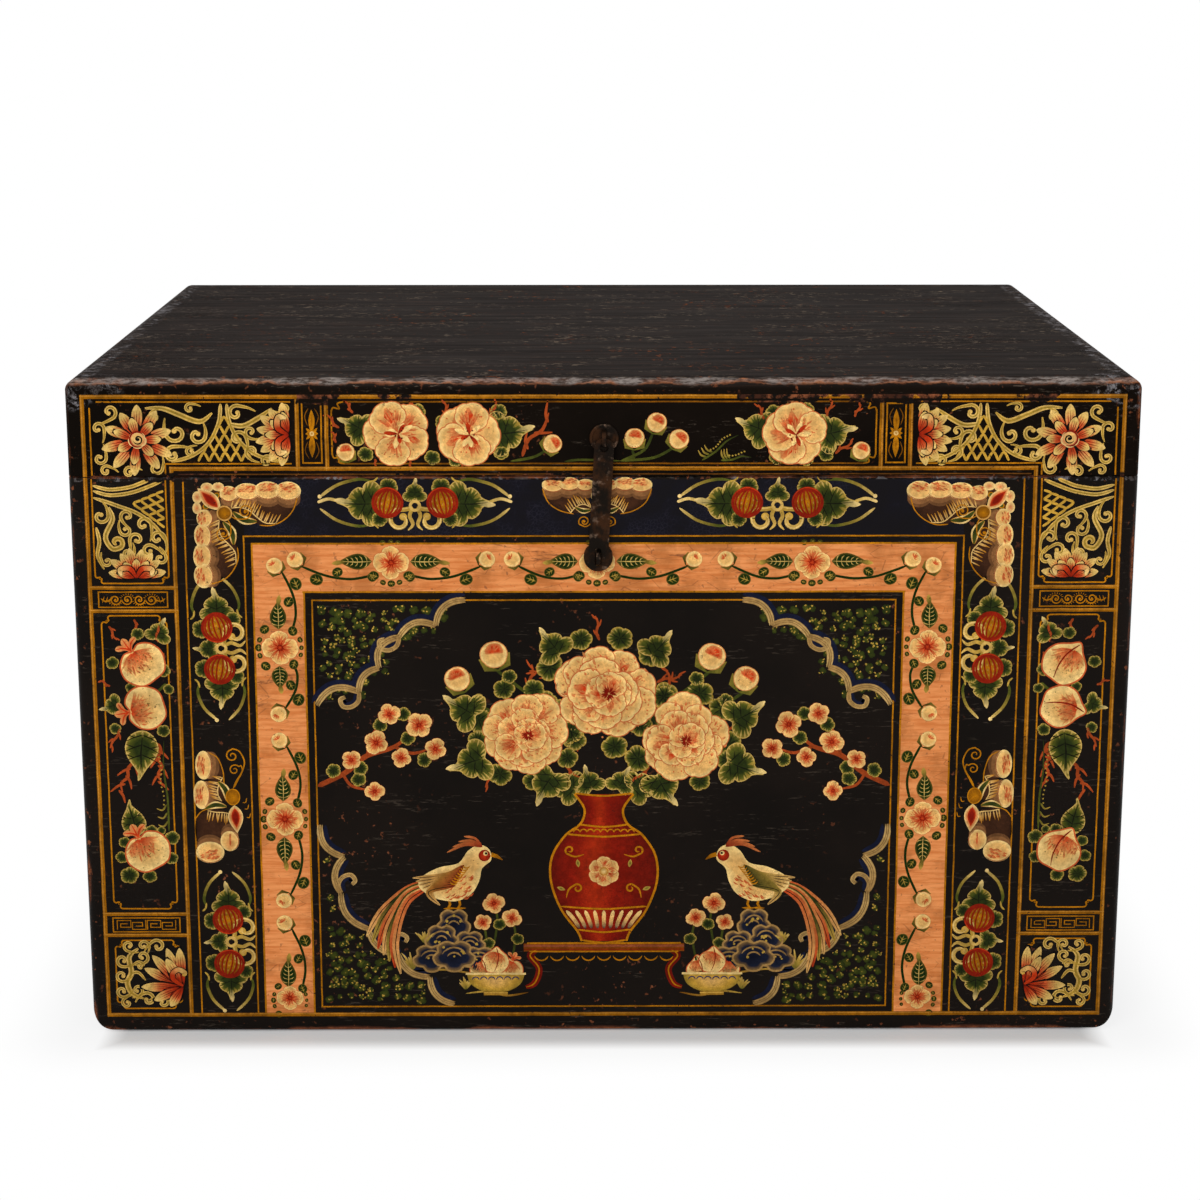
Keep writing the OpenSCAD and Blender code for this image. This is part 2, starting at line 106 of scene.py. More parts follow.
class ChestFinish(bpy.types.PropertyGroup):
    """Finish of the lacquer, wood and iron."""
    lacquer: tone("Lacquer", "110d0a", "Black lacquer")
    # painted sheen: the lid's top colour is lighter than the rest of the lacquer and stands in for its shine,
    # which the lid's shader turns off; it is also rubbed lacquer
    lid_lacquer: tone("Lid lacquer", "302a27", "Rubbed lacquer on top of the lid")
    undercoat: tone("Undercoat", "3c2116", "Brown under the lacquer where it thins")
    rubbed: tone("Rubbed wood", "8a4f31", "Wood where the edges are worn through")
    wood: tone("Inner wood", "8d6a45", "Bare boards inside")
    wood_dark: tone("Inner grain", "5d4029", "Grain of the bare boards")
    iron: tone("Iron", "120b05", "Forged iron")
    rust: tone("Rust", "3d2310", "Rust on the iron")
    wear_width: length("Wear width", 0.0075, "How far the wear reaches in from an edge")


class ChestLayout(bpy.types.PropertyGroup):
    """Where the painted lines run, from the middle and from the floor."""
    thick: length("Thick line", 0.0036, "Width of the thick gold lines")
    thin: length("Thin line", 0.0013, "Width of the thin gold lines")
    paint_lift: length("Paint lift", 0.00012, "Height of the lowest paint over the lacquer")
    paint_step: length("Paint step", 0.000004, "Height of one stroke over another")
    outer_x: length("Outer lines", 0.4445, "Outermost upright thick lines")
    column_x: length("Column lines", 0.3705, "Thick lines between the corner panels and the columns")
    field_x: length("Field lines", 0.361, "Outer thin lines of the side columns")
    band_x: length("Band", 0.303, "Outer edge of the salmon band")
    band_inner_x: length("Band inside", 0.2605, "Inner edge of the salmon band")
    picture_x: length("Picture", 0.253, "Half width of the middle picture")
    band_z: length("Band top", 0.4508, "Upper edge of the salmon band")
    band_inner_z: length("Band inside top", 0.409, "Lower edge of the band's top run")
    picture_z: length("Picture top", 0.401, "Upper line of the picture")
    picture_low_z: length("Picture foot", 0.0237, "Lower line of the picture")
    foot_z: length("Foot line", 0.0162, "Lowest thick line")
    strip_z: length("Strip", 0.458, "Lower line of the top strip")


class ChestStage(bpy.types.PropertyGroup):
    """Camera, floor and lamps."""
    camera_x: length("Camera across", -0.0141, "Camera's place along the width")
    camera_y: length("Camera back", -2.3332, "Camera's place along the depth")
    camera_z: length("Camera height", 0.9389, "Camera's height over the floor")
    pitch: bpy.props.FloatProperty(name="Pitch", description="How far the camera looks down",
        subtype="ANGLE", default=radians(12.02))
    yaw: bpy.props.FloatProperty(name="Yaw", description="How far the camera looks to the right",
        subtype="ANGLE", default=radians(0.3))
    lens: bpy.props.FloatProperty(name="Lens", description="Focal length in millimetres", default=72.5)
    shift: bpy.props.FloatProperty(name="Shift", description="Upward shift of the lens", default=-0.1)
    sky: bpy.props.FloatProperty(name="Sky", description="Strength of the even light", default=0.58)
    key: bpy.props.FloatProperty(name="Key", description="Power of the main lamp in watts", default=52)
    fill: bpy.props.FloatProperty(name="Fill", description="Power of the fill lamp in watts", default=16)


def settings(name):
    """One of the chest's property groups."""
    return getattr(bpy.context.scene, "chest_" + name)


class Tones:
    """The colours of the painting, each as a linear triple."""

    def __getattr__(self, name):
        return tuple(getattr(settings("paints"), name))


class Millimetres:
    """The lengths of the layout in millimetres."""

    def __getattr__(self, name):
        return getattr(settings("layout"), name) / MM


T = Tones()
L = Millimetres()


# Node building

class Value:
    """An output of a material's nodes, which the usual signs work on."""

    def __init__(self, nodes, socket):
        self.nodes = nodes
        self.socket = socket

    def __add__(self, other):
        return self.nodes.math("ADD", self, other)

    def __sub__(self, other):
        return self.nodes.math("SUBTRACT", self, other)

    def __rsub__(self, other):
        return self.nodes.math("SUBTRACT", other, self)

    def __mul__(self, other):
        return self.nodes.math("MULTIPLY", self, other)

    def __truediv__(self, other):
        return self.nodes.math("DIVIDE", self, other)

    def __abs__(self):
        return self.nodes.math("ABSOLUTE", self)


def least(value, other):
    """The smaller of two values."""
    return value.nodes.math("MINIMUM", value, other)


def most(value, other):
    """The larger of two values."""
    return value.nodes.math("MAXIMUM", value, other)


class Nodes:
    """A material's nodes, added one after another."""

    def __init__(self, name):
        self.material = bpy.data.materials.new(name)
        self.material.use_nodes = True
        self.tree = self.material.node_tree
        self.tree.nodes.clear()
        self.shader = self.add("ShaderNodeBsdfPrincipled")
        self.surface = self.add("ShaderNodeOutputMaterial").inputs["Surface"]
        self.link(self.shader.outputs[0], self.surface)
        self.place = self.value("ShaderNodeTexCoord", "Object")
        parts = self.add("ShaderNodeSeparateXYZ", {0: self.place})
        self.x, self.y, self.z = (Value(self, part) for part in parts.outputs)

    def link(self, output, socket):
        self.tree.links.new(output, socket)

    def give(self, socket, value):
        """Links or sets a socket; a colour may be a six-digit code."""
        if isinstance(value, Value):
            self.link(value.socket, socket)
        elif socket.type == "RGBA":
            socket.default_value = (*(linear(value) if isinstance(value, str) else value), 1)
        else:
            socket.default_value = value

    def add(self, kind, given=(), **options):
        """A new node with its options, and what its inputs are given by name or place."""
        node = self.tree.nodes.new(kind)
        for name, option in options.items():
            setattr(node, name, option)
        for socket, value in dict(given).items():
            self.give(node.inputs[socket], value)
        return node

    def value(self, kind, output, given=(), **options):
        """One output of a new node."""
        return Value(self, self.add(kind, given, **options).outputs[output])

    def math(self, kind, *values):
        return self.value("ShaderNodeMath", 0, enumerate(values), operation=kind)

    def stretch(self, *scales):
        """The place on the chest, scaled along each axis."""
        return self.value("ShaderNodeVectorMath", 0, enumerate((self.place, scales)), operation="MULTIPLY")

    def noise(self, scale, detail, rough, place=None, warp=0):
        given = {"Vector": place or self.place, "Scale": scale, "Detail": detail,
            "Roughness": rough, "Distortion": warp}
        return self.value("ShaderNodeTexNoise", "Fac", given)

    def cracks(self, scale, width, place=None):
        """1 on the cracks between cells, 0 elsewhere."""
        given = {"Vector": place or self.place, "Scale": scale}
        far = self.value("ShaderNodeTexVoronoi", "Distance", given, feature="DISTANCE_TO_EDGE")
        return self.ramp(far, 0, width, 1, 0)

    def ramp(self, value, low, high, start=0, end=1):
        """Goes smoothly from start to end while the value goes from low to high."""
        given = {"Value": value, "From Min": low, "From Max": high, "To Min": start, "To Max": end}
        return self.value("ShaderNodeMapRange", "Result", given, interpolation_type="SMOOTHSTEP")

    def mix(self, share, a, b, blend="MIX"):
        """A colour between two colours."""
        return self.value("ShaderNodeMix", 2, {0: share, 6: a, 7: b}, data_type="RGBA", blend_type=blend)

    def between(self, share, a, b):
        """A number between two numbers."""
        return self.value("ShaderNodeMix", 0, {0: share, 2: a, 3: b}, data_type="FLOAT")

    def bump(self, height, strength, distance):
        return self.value("ShaderNodeBump", 0,
            {"Height": height, "Strength": strength, "Distance": distance})

    def finish(self, colour, rough, normal=None, **constants):
        """The material with its colour, roughness and bump, and with constants for other sockets."""
        given = {"Base Color": colour, "Roughness": rough, "Normal": normal}
        for name, value in given.items():
            if value is not None:
                self.give(self.shader.inputs[name], value)
        for name, value in constants.items():
            self.shader.inputs[name.replace("_", " ")].default_value = value
        return self.material


def edge_distance(n, low_z, high_z):
    """Distance of a surface point from the nearest edge of the boards' box, and how deep it lies inside."""
    side = END_X - abs(n.x)
    deep = HALF_DEPTH - abs(n.y - MIDDLE_Y)
    high = least(n.z - low_z, high_z - n.z)
    inner = least(side, deep)
    return most(inner, least(most(side, deep), high)), inner


def wood_colour(n, finish, turned):
    """Aged bare softwood with its grain along the width, or from front to back where turned is 1."""
    coarse = [n.noise(9, 6, 0.6, n.stretch(*scales), 0.6) for scales in ((1.2, 14, 14), (14, 1.2, 14))]
    fine = [n.noise(60, 3, 0.7, n.stretch(*scales)) for scales in ((0.5, 9, 9), (9, 0.5, 9))]
    fibre = n.between(turned, *fine)
    colour = n.mix(n.ramp(n.between(turned, *coarse), 0.35, 0.68), finish.wood, finish.wood_dark)
    colour = n.mix(n.ramp(fibre, 0.45, 0.75, 0, 0.45), colour, finish.wood_dark, "MULTIPLY")
    return n.mix(n.ramp(n.noise(5, 5, 0.6), 0.5, 0.8, 0, 0.55), colour, "3a2a1c"), fibre


def lacquer(name, low_z, high_z, is_lid):
    """Old black lacquer: rubbed brown along the edges, with scratches and crackle; painted glints on grey
    crackled patches at the corners and seam, painted sheen as lighter tones on the ends, back and lid top,
    and on the lid a painted highlight along its upper edge.
    """
    finish = settings("finish")
    n = Nodes(name)
    edge, depth = edge_distance(n, low_z, high_z)
    cloud = n.noise(7, 6, 0.6)
    base = n.mix(n.ramp(cloud, 0.35, 0.7), finish.lacquer, "18120e")
    if is_lid:
        top = n.ramp(n.z, high_z - 0.01, high_z - 0.002)
        band = n.noise(1, 4, 0.65, n.stretch(6, 95, 95))
        # the top: rubbed lacquer in streaky bands, lightened as painted sheen because the lid's lacquer has
        # its shine turned off
        worn_top_and_sheen = n.mix(n.ramp(band, 0.32, 0.68), finish.lid_lacquer, "1f1a18")
        brown = n.ramp(n.noise(1, 4, 0.7, n.stretch(14, 300, 300)), 0.56, 0.72, 0, 0.5)
        base = n.mix(top, base, n.mix(brown, worn_top_and_sheen, "54392c"))
    # painted sheen: the boards' ends and back get lighter lacquer tones that stand in for the lacquer's shine
    away = most(n.ramp(abs(n.x), END_X - 0.004, END_X - 0.001), n.ramp(n.y, BACK_Y - 0.004, BACK_Y - 0.001))
    if is_lid:
        away = away * (1 - top)
    # lighter lacquer tones for the painted sheen on the ends and back
    plain = ("221e1b", "2a2522") if is_lid else ("181513", "1f1b18")
    base = n.mix(away, base, n.mix(n.ramp(cloud, 0.35, 0.7), *plain))
    scales = (105, 420, 560) if is_lid else (62, 560, 560)
    scratch = n.noise(1, 3, 0.7, n.stretch(*scales))
    fine = n.noise(1, 2, 0.6, n.stretch(13, 34, 60))
    streak = n.ramp(scratch, 0.585, 0.66) * n.ramp(fine, 0.48, 0.6)
    base = n.mix(streak * (n.between(top, 0.12, 0.75) if is_lid else 0.1), base, "93816f")
    flake = n.noise(42, 5, 0.7)
    patch = n.noise(11, 4, 0.6)
    seam = abs(n.z - SEAM_Z)
    calm = n.ramp(seam, 0, 0.02, 0.3, 1)
    reach = n.ramp(patch, 0.38, 0.62, 0.25, 1) * (calm * finish.wear_width)
    near = n.ramp(edge / reach, 0.15, 1.25, 1, 0)
    ragged = near + (flake - 0.5) * 0.9
    thin = n.ramp(ragged, 0.4, 0.62)
    through = n.ramp(ragged, 0.66, 0.86)
    speck = n.ramp(n.noise(150, 3, 0.6), 0.62, 0.68) * most(n.ramp(patch, 0.5, 0.64),
        n.ramp(edge, 0.003, 0.016, 1, 0))
    through = most(through, speck * 0.8)
    rubbed = n.mix(n.ramp(n.noise(85, 4, 0.7), 0.35, 0.65), finish.rubbed, "5c3220")
    colour = n.mix(thin, base, finish.undercoat)
    colour = n.mix(through, colour, rubbed)
    ends = n.ramp(abs(n.x), END_X - 0.1, END_X - 0.005)
    if is_lid:
        edges = n.ramp(high_z - n.z, 0.01, 0.045, 1, 0) * ends * n.ramp(edge, 0.01, 0.04, 1, 0)
    else:
        edges = n.ramp(seam, 0.0015, 0.0065, 1, 0)
    # painted glints: grey crackled facets at the lid's upper corners and along the case's seam stand in for
    # the reflections of glossy crackled lacquer
    facet_glint = n.ramp(n.noise(125, 4, 0.7, warp=0.6), 0.49,
        0.6) * n.ramp(edges * (ends * 0.5 + patch), 0.38, 0.62)
    colour = n.mix(facet_glint * n.ramp(away, 0, 1, 0.85, 0.35), colour,
        n.mix(n.ramp(flake, 0.4, 0.6), "807c7e", "463f3c"))
    corner = n.ramp(abs(n.x), END_X - 0.17, END_X - 0.05) * n.ramp(patch, 0.42, 0.58)
    crackle = n.cracks(230, 0.1) * corner
    colour = n.mix(crackle * 0.75, colour, "120d0a")
    if is_lid:
        # the lid's rust line and painted highlight along its upper edge
        colour = lid_rim(n, colour, edge, high_z)
    turned = n.ramp(abs(n.x), END_X - BOARD - 0.001, END_X - BOARD - 0.0002)
    wood, _ = wood_colour(n, finish, turned)
    inner = least(depth, high_z - n.z if is_lid else n.z - low_z)
    bare = n.ramp(inner, 0.0145, 0.0155)
    colour = n.mix(bare, colour, wood)
    rough = n.between(through, n.between(streak, n.between(cloud, 0.3, 0.42), 0.55), 0.72)
    rough = n.between(bare, rough, 0.8)
    height = n.noise(55, 4, 0.55) * 0.45 - through * 0.9 - crackle * 0.7 - streak * 0.35
    return n.finish(colour, rough, n.bump(height, 0.55, 0.0006),
        Specular_IOR_Level=NO_SHINE if is_lid else DULL_SHINE)


def bare_wood(name, turned):
    """The boards that are never lacquered."""
    n = Nodes(name)
    colour, fibre = wood_colour(n, settings("finish"), turned)
    return n.finish(colour, 0.78, n.bump(fibre, 0.5, 0.0006), Specular_IOR_Level=0.25)


def iron(name, shine):
    """Forged iron, nearly black, with brown rust in the low spots and painted highlights as lighter
    brown-grey on its hammer marks.
    """
    finish = settings("finish")
    n = Nodes(name)
    hammer_and_highlight = n.noise(120, 4, 0.6)
    blotch = n.noise(48, 5, 0.65)
    grain = n.noise(900, 2, 0.6)
    colour = n.mix(n.ramp(blotch, 0.42, 0.66), finish.iron, finish.rust)
    # painted highlights: the hammer marks get a lighter brown-grey
    colour = n.mix(n.ramp(hammer_and_highlight, 0.56, 0.72, 0, 0.75), colour, "7a6250")
    colour = n.mix(n.ramp(grain, 0.5, 0.8, 0, 0.5), colour, "0e0b09")
    rough = n.ramp(blotch, 0.3, 0.75, shine, 0.72)
    height = hammer_and_highlight * 0.8 + grain * 0.25
    return n.finish(colour, rough, n.bump(height, 0.7, 0.0007), Metallic=0.72, Specular_IOR_Level=0.2)


def paint_wear(n):
    """How far paint is rubbed off near the lid's upper edge, the seam, the ends and the foot, from 0 to 1."""
    finish = settings("finish")
    top = LID_TOP_Z - n.z
    seam = abs(n.z - SEAM_Z)
    side = END_X - abs(n.x)
    near = n.ramp(top, 0.014, 0.034, 1, 0)
    for value, low, high in ((seam, 0.001, 0.009), (side, 0.008, 0.021), (n.z, 0.006, 0.022)):
        near = most(near, n.ramp(value, low, high, 0.8, 0))
    patch = n.noise(14, 4, 0.6)
    flake = n.noise(95, 5, 0.72)
    ragged = near * n.ramp(patch, 0.46, 0.64, 0.22, 1.1) + (flake - 0.5) * 0.8
    colour = n.mix(n.ramp(n.noise(60, 4, 0.7), 0.42, 0.62), finish.undercoat, finish.rubbed)
    return n.ramp(ragged, 0.52, 0.6), n.mix(n.ramp(flake, 0.42, 0.56), colour, finish.lacquer)


PAINTS = {"flower_paint": (0.42, 0.45, 0.76), "fresh_flower_paint": (0.42, 0.45, 0.86),
    "gold_line_paint": (0.4, 0.75, 0.52)}


def paint(name):
    """Tempera and gold on lacquer, made once: brush streaks, fine cracks, chips and rubbed edges, with
    painted shade that darkens the paint towards the floor.
    """
    if name in bpy.data.materials:
        return bpy.data.materials[name]
    rough, chips, dull = PAINTS[name]
    n = Nodes(name)
    brush = n.noise(240, 3, 0.65)
    broad = n.noise(38, 4, 0.6)
    light = n.ramp(brush, 0.3, 0.75, 0.72, 1.14)
    # painted shade: the z ramp darkens the paint towards the floor, standing in for less light at the foot
    shade = light * n.ramp(n.z, 0.02, 0.28, 0.84, 1) * n.ramp(broad, 0.3, 0.7, dull, 1.08)
    given = n.value("ShaderNodeVertexColor", "Color", layer_name="Paint")
    colour = n.value("ShaderNodeHueSaturation", 0, {"Color": given, "Value": shade})
    chipped = n.ramp(n.noise(310, 3, 0.7), 0.62, 0.67) * n.ramp(n.noise(16, 4, 0.6), 0.42, 0.6)
    crack = n.cracks(420, 0.07) * n.ramp(broad, 0.42, 0.65, 0, 0.55)
    colour = n.mix(crack * 0.8, colour, "3c2a1a", "MULTIPLY")
    colour = n.mix(chipped * (chips * 1.7), colour, "1d1611")
    worn, under = paint_wear(n)
    colour = n.mix(worn, colour, under)
    height = brush * 0.5 - (chipped + crack * 0.5) - worn * 0.8
    return n.finish(colour, rough, n.bump(height, 0.35, 0.0003), Specular_IOR_Level=DULL_SHINE)


def band_paint():
    """The salmon band: streaks along the brush, dark specks and rubbed scratches."""
    paints = settings("paints")
    n = Nodes("band_paint")
    streak = n.noise(120, 4, 0.65, n.stretch(0.25, 1, 3))
    cloud = n.noise(26, 5, 0.6)
    colour = n.mix(n.ramp(streak, 0.32, 0.68), paints.salmon, "e9975a")
    colour = n.mix(n.ramp(cloud, 0.44, 0.64, 0, 0.65), colour, "a5602f")
    speck = n.ramp(n.noise(230, 2, 0.5), 0.66, 0.74)
    rubbed = n.ramp(n.noise(60, 5, 0.75, n.stretch(0.35, 1, 2.2)), 0.58,
        0.68) * n.ramp(n.noise(9, 3, 0.6), 0.46, 0.62)
    lines = n.cracks(70, 0.022, n.stretch(0.45, 1, 1.7)) * n.ramp(cloud, 0.4, 0.58, 0.1, 0.6)
    colour = n.mix(lines, colour, "7a4428")
    colour = n.mix(speck * 0.55, colour, "6d4230")
    colour = n.mix(rubbed * 0.75, colour, "5a3222")
    height = streak * 0.6 - rubbed * 0.8
    return n.finish(colour, 0.5, n.bump(height, 0.4, 0.0004), Specular_IOR_Level=DULL_SHINE)


def night_ground():
    """The blue-black ground of the top strip, with a fine crackle in patches."""
    n = Nodes("night_ground")
    cloud = n.noise(24, 5, 0.6)
    colour = n.mix(n.ramp(cloud, 0.35, 0.7), "100d10", T.night)
    crackle = n.cracks(330, 0.09) * n.ramp(cloud, 0.46, 0.62)
    colour = n.mix(crackle * 0.6, colour, "25222c")
    height = n.noise(80, 3, 0.6) - crackle
    return n.finish(colour, 0.34, n.bump(height, 0.4, 0.0004), Specular_IOR_Level=0.06)


def lid_rim(n, colour, edge, high_z):
    """The lid's upper edge: a streaky grey band of painted highlight along the rounded arris over rubbed
    lacquer, with a ragged rust-brown line under it.
    """
    below = high_z - n.z
    hair = n.noise(1, 5, 0.75, n.stretch(95, 260, 420))
    lumps = n.noise(24, 4, 0.65)
    uneven = (hair - 0.5) * 0.008 + (lumps - 0.5) * 0.01
    line = n.ramp(below + uneven, 0.0026, 0.0036) * n.ramp(below + uneven, 0.0046, 0.0062, 1, 0)
    line = line * n.ramp(lumps, 0.36, 0.54, 0.1, 0.9)
    colour = n.mix(line, colour, n.mix(n.ramp(hair, 0.4, 0.6), "6a3a22", "a8683f"))
    # painted highlight: a streaky grey band along the rounded upper arris, over rubbed lacquer
    rim = n.ramp(edge + uneven, 0.0035, 0.007, 1, 0) * n.ramp(below + uneven, 0.0036, 0.006, 1, 0)
    grey = n.mix(n.ramp(hair, 0.4, 0.6), "40352f", "928882")
    return n.mix(rim * n.ramp(lumps, 0.32, 0.56, 0.95, 0.55), colour, grey)


# Drawing

def smooth(points, closed=False, steps=6):
    """A flowing line through the points."""
    count = len(points)
    path = []
    last = count if closed else count - 1
    for i in range(last):
        if closed:
            a, b, c, d = (points[(i + k) % count] for k in (-1, 0, 1, 2))
        else:
            a, b, c, d = (points[min(max(i + k, 0), count - 1)] for k in (-1, 0, 1, 2))
        for step in range(steps):
            t = step / steps
            path.append(tuple(0.5 * (2 * q + (r - p) * t + (2 * p - 5 * q + 4 * r - s) * t * t
                + (3 * q - p - 3 * r + s) * t ** 3) for p, q, r, s in zip(a, b, c, d)))
    if not closed:
        path.append(tuple(points[-1]))
    return path


def arc(x, z, r, start, end, steps=16, tall=1):
    """Points on part of a circle, with angles in degrees from +X."""
    turns = [radians(start + (end - start) * i / steps) for i in range(steps + 1)]
    return [(x + r * cos(t), z + r * tall * sin(t)) for t in turns]


def curl(x, z, r, start, turns, shrink=0.18):
    """A spiral that closes in on (x, z); negative turns run clockwise."""
    steps = max(8, int(abs(turns) * 18))
    path = []
    for i in range(steps + 1):
        t = i / steps
        a = radians(start + 360 * turns * t)
        reach = r * (1 - (1 - shrink) * t)
        path.append((x + reach * cos(a), z + reach * sin(a)))
    return path


def lobed(rx, rz, lobes, depth, start=0, steps=7):
    """A rosette of round lobes with notches between them."""
    points = []
    for i in range(lobes * steps):
        share = i / (lobes * steps)
        a = radians(start) + 2 * pi * share
        reach = 1 - depth * (1 - sqrt(abs(sin(pi * lobes * share))))
        points.append((rx * reach * cos(a), rz * reach * sin(a)))
    return points


def drop(tall, wide, belly, steps=9):
    """A petal or leaf from the origin to a point at (0, tall)."""
    power = log(0.5) / log(belly)
    side = [(wide / 2 * sin(pi * (i / steps) ** power), tall * i / steps) for i in range(1, steps)]
    return [(0, 0)] + side + [(0, tall)] + [(-x, z) for x, z in reversed(side)]


def sized(points, size):
    """The points moved away from the origin by a size."""
    return [(x * size, z * size) for x, z in points]


def mirrored(half):
    """A closed outline from its right half, which starts and ends on the middle line."""
    return half + [(-x, z) for x, z in reversed(half) if abs(x) > 1e-6]


class Painting:
    """Flat paint on the front, drawn in millimetres: x from the middle, z from the floor."""

    def __init__(self, name, body, seed):
        self.name = name
        self.body = body
        self.points = []
        self.colours = []
        self.faces = []
        self.shapes = []
        self.hand = random.Random(seed)
        self.vary = self.hand.uniform
        self.spot = Matrix.Identity(3)
        self.coat = 0

    def at(self, x, z, turn=0, size=1, flip=False, coat=0):
        """The same painting from another spot, turned, sized, mirrored or laid a coat higher."""
        there = Painting.__new__(Painting)
        there.__dict__ = dict(self.__dict__)
        shift = Matrix(((1, 0, x), (0, 1, z), (0, 0, 1)))
        scale = Matrix.Diagonal((-size if flip else size, size, 1))
        there.spot = self.spot @ shift @ Matrix.Rotation(radians(turn), 3, "Z") @ scale
        there.coat = self.coat + coat
        return there

    def begin(self, coat):
        """Starts a new shape, which lies over the shapes of lower coats and over earlier ones."""
        self.shapes.append((self.coat + coat, len(self.points)))

    def put(self, point, colour):
        x, z, _ = self.spot @ Vector((point[0], point[1], 1))
        sway = noise.noise_vector((x * 0.08, z * 0.08, 2.3)) * 0.25
        self.points.append((x + sway.x, z + sway.y))
        self.colours.append(colour)
        return len(self.points) - 1

    def face(self, *corners):
        spots = [self.points[i] for i in corners]
        area = sum(a[0] * b[1] - b[0] * a[1] for a, b in zip(spots, spots[1:] + spots[:1]))
        self.faces.append(corners if area > 0 else corners[::-1])

    def fill(self, outline, stops, centre=None, coat=0):
        """A closed shape shaded outwards: stops is a colour, or pairs of a share and a colour."""
        if not isinstance(stops[0], tuple):
            stops = core(stops, stops)
        if centre is None:
            centre = [sum(p[k] for p in outline) / len(outline) for k in (0, 1)]
        self.begin(coat)
        rings = []
        for share, colour in stops[1:]:
            rings.append([self.put((centre[0] + (x - centre[0]) * share,
                centre[1] + (z - centre[1]) * share), colour) for x, z in outline])
        middle = self.put(centre, stops[0][1])
        count = len(outline)
        for i in range(count):
            j = (i + 1) % count
            self.face(middle, rings[0][i], rings[0][j])
            for inner, outer in zip(rings, rings[1:]):
                self.face(inner[i], outer[i], outer[j], inner[j])

    def stroke(self, path, width, colour, tip=None, ends=(0.25, 0.25), thin=0.2, closed=False, coat=0):
        """A brush line along a path, in one or more colours; ends are the shares over which it thins."""
        if len(path) == 2:
            (x0, z0), (x1, z1) = path
            path = [(x0 + (x1 - x0) * t / 3, z0 + (z1 - z0) * t / 3) for t in range(4)]
        count = len(path)
        colours = colour if isinstance(colour[0], tuple) else (colour, tip or colour)
        self.begin(coat)
        rows = []
        for i, (x, z) in enumerate(path):
            t = i / (count - 1)
            before = path[i - 1 if closed else max(i - 1, 0)]
            after = path[(i + 1) % count if closed else min(i + 1, count - 1)]
            dx, dz = after[0] - before[0], after[1] - before[1]
            size = hypot(dx, dz) or 1
            press = 1
            if not closed:
                for share, end in ((t, ends[0]), (1 - t, ends[1])):
                    if share < end:
                        press *= thin + (1 - thin) * sin(pi / 2 * share / end)
            half = width / 2 * press
            spot = t * (len(colours) - 1)
            k = min(int(spot), len(colours) - 2)
            shade = blend(colours[k], colours[k + 1], spot - k)
            rows.append(
                [self.put((x - s * dz / size * half, z + s * dx / size * half), shade) for s in (-1, 1)])
        pairs = list(zip(rows, rows[1:]))
        if closed:
            pairs.append((rows[-1], rows[0]))
        for (a, b), (c, d) in pairs:
            self.face(a, c, d, b)

    def flow(self, points, *values, **more):
        """A brush line that flows through the points."""
        self.stroke(smooth(points), *values, **more)

    def outline(self, points, width, colour, coat=0):
        self.stroke(points, width, colour, closed=True, coat=coat)

    def dot(self, x, z, r, colour, middle=None, coat=0, tall=1):
        sides = 12 if r > 1.2 else 8
        self.fill(arc(x, z, r, 0, 360 - 360 / sides, sides - 1, tall),
            core(middle or colour, colour), (x, z), coat)

    def line(self, *corners, width, colour, coat=0):
        """A drawn line, straight between its corners, with a slightly uneven edge."""
        for (x0, z0), (x1, z1) in zip(corners, corners[1:]):
            span = hypot(x1 - x0, z1 - z0)
            steps = max(2, int(span / 9))
            reach = width / 2 / span if span > 0 else 0
            path = [(x0 + (x1 - x0) * t, z0 + (z1 - z0) * t)
                for t in (-reach + (1 + 2 * reach) * i / steps for i in range(steps + 1))]
            thick = width > 2.5
            self.stroke(path, width,
                blend(colour, T.ochre, 0.65) if thick else colour, ends=(0, 0), coat=coat)
            if thick:
                self.stroke(beside(path, width * 0.2), width * 0.3,
                    blend(colour, T.pale, 0.1), ends=(0, 0), coat=coat + 0.1)
                self.stroke(beside(path, -width * 0.24), width * 0.16,
                    blend(colour, T.ochre, 0.2), ends=(0, 0), coat=coat + 0.1)

    def gold(self, width, *corners):
        """A drawn gold line."""
        self.line(*corners, width=width, colour=T.gold)

    def levels(self):
        """The height of each point in coats, so that shapes that cross never lie in one plane."""
        ends = [start for _, start in self.shapes[1:]] + [len(self.points)]
        boxes = []
        for (coat, start), end in zip(self.shapes, ends):
            xs = [p[0] for p in self.points[start:end]]
            zs = [p[1] for p in self.points[start:end]]
            boxes.append((min(xs), max(xs), min(zs), max(zs), coat, start, end))
        heights = [0] * len(self.points)
        placed = []
        for x0, x1, z0, z1, coat, start, end in sorted(boxes, key=lambda b: (b[4], b[5])):
            under = [level for a0, a1, b0, b1, level in placed if a0 < x1
                and x0 < a1 and b0 < z1 and z0 < b1]
            level = max(under, default=-1) + 1
            placed.append((x0, x1, z0, z1, level))
            for i in range(start, end):
                heights[i] = level
        return heights

    def make(self, finish):
        """Lays the painting on its body as one mesh."""
        layout = settings("layout")
        mesh = bpy.data.meshes.new(self.name)
        spots = [(x * MM, FRONT_Y - layout.paint_lift - layout.paint_step * level, z * MM)
            for (x, z), level in zip(self.points, self.levels())]
        mesh.from_pydata(spots, [], self.faces)
        shades = mesh.color_attributes.new("Paint", "FLOAT_COLOR", "POINT")
        shades.data.foreach_set("color", [part for c in self.colours for part in (*c, 1)])
        place_mesh(mesh, self.body, paint(finish))


def place_mesh(mesh, body, material):
    """An object of a mesh that rides on a body and takes the place of its lacquer."""
    thing = bpy.data.objects.new(mesh.name, mesh)
    bpy.context.scene.collection.objects.link(thing)
    mesh.materials.append(material)
    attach(thing, body)


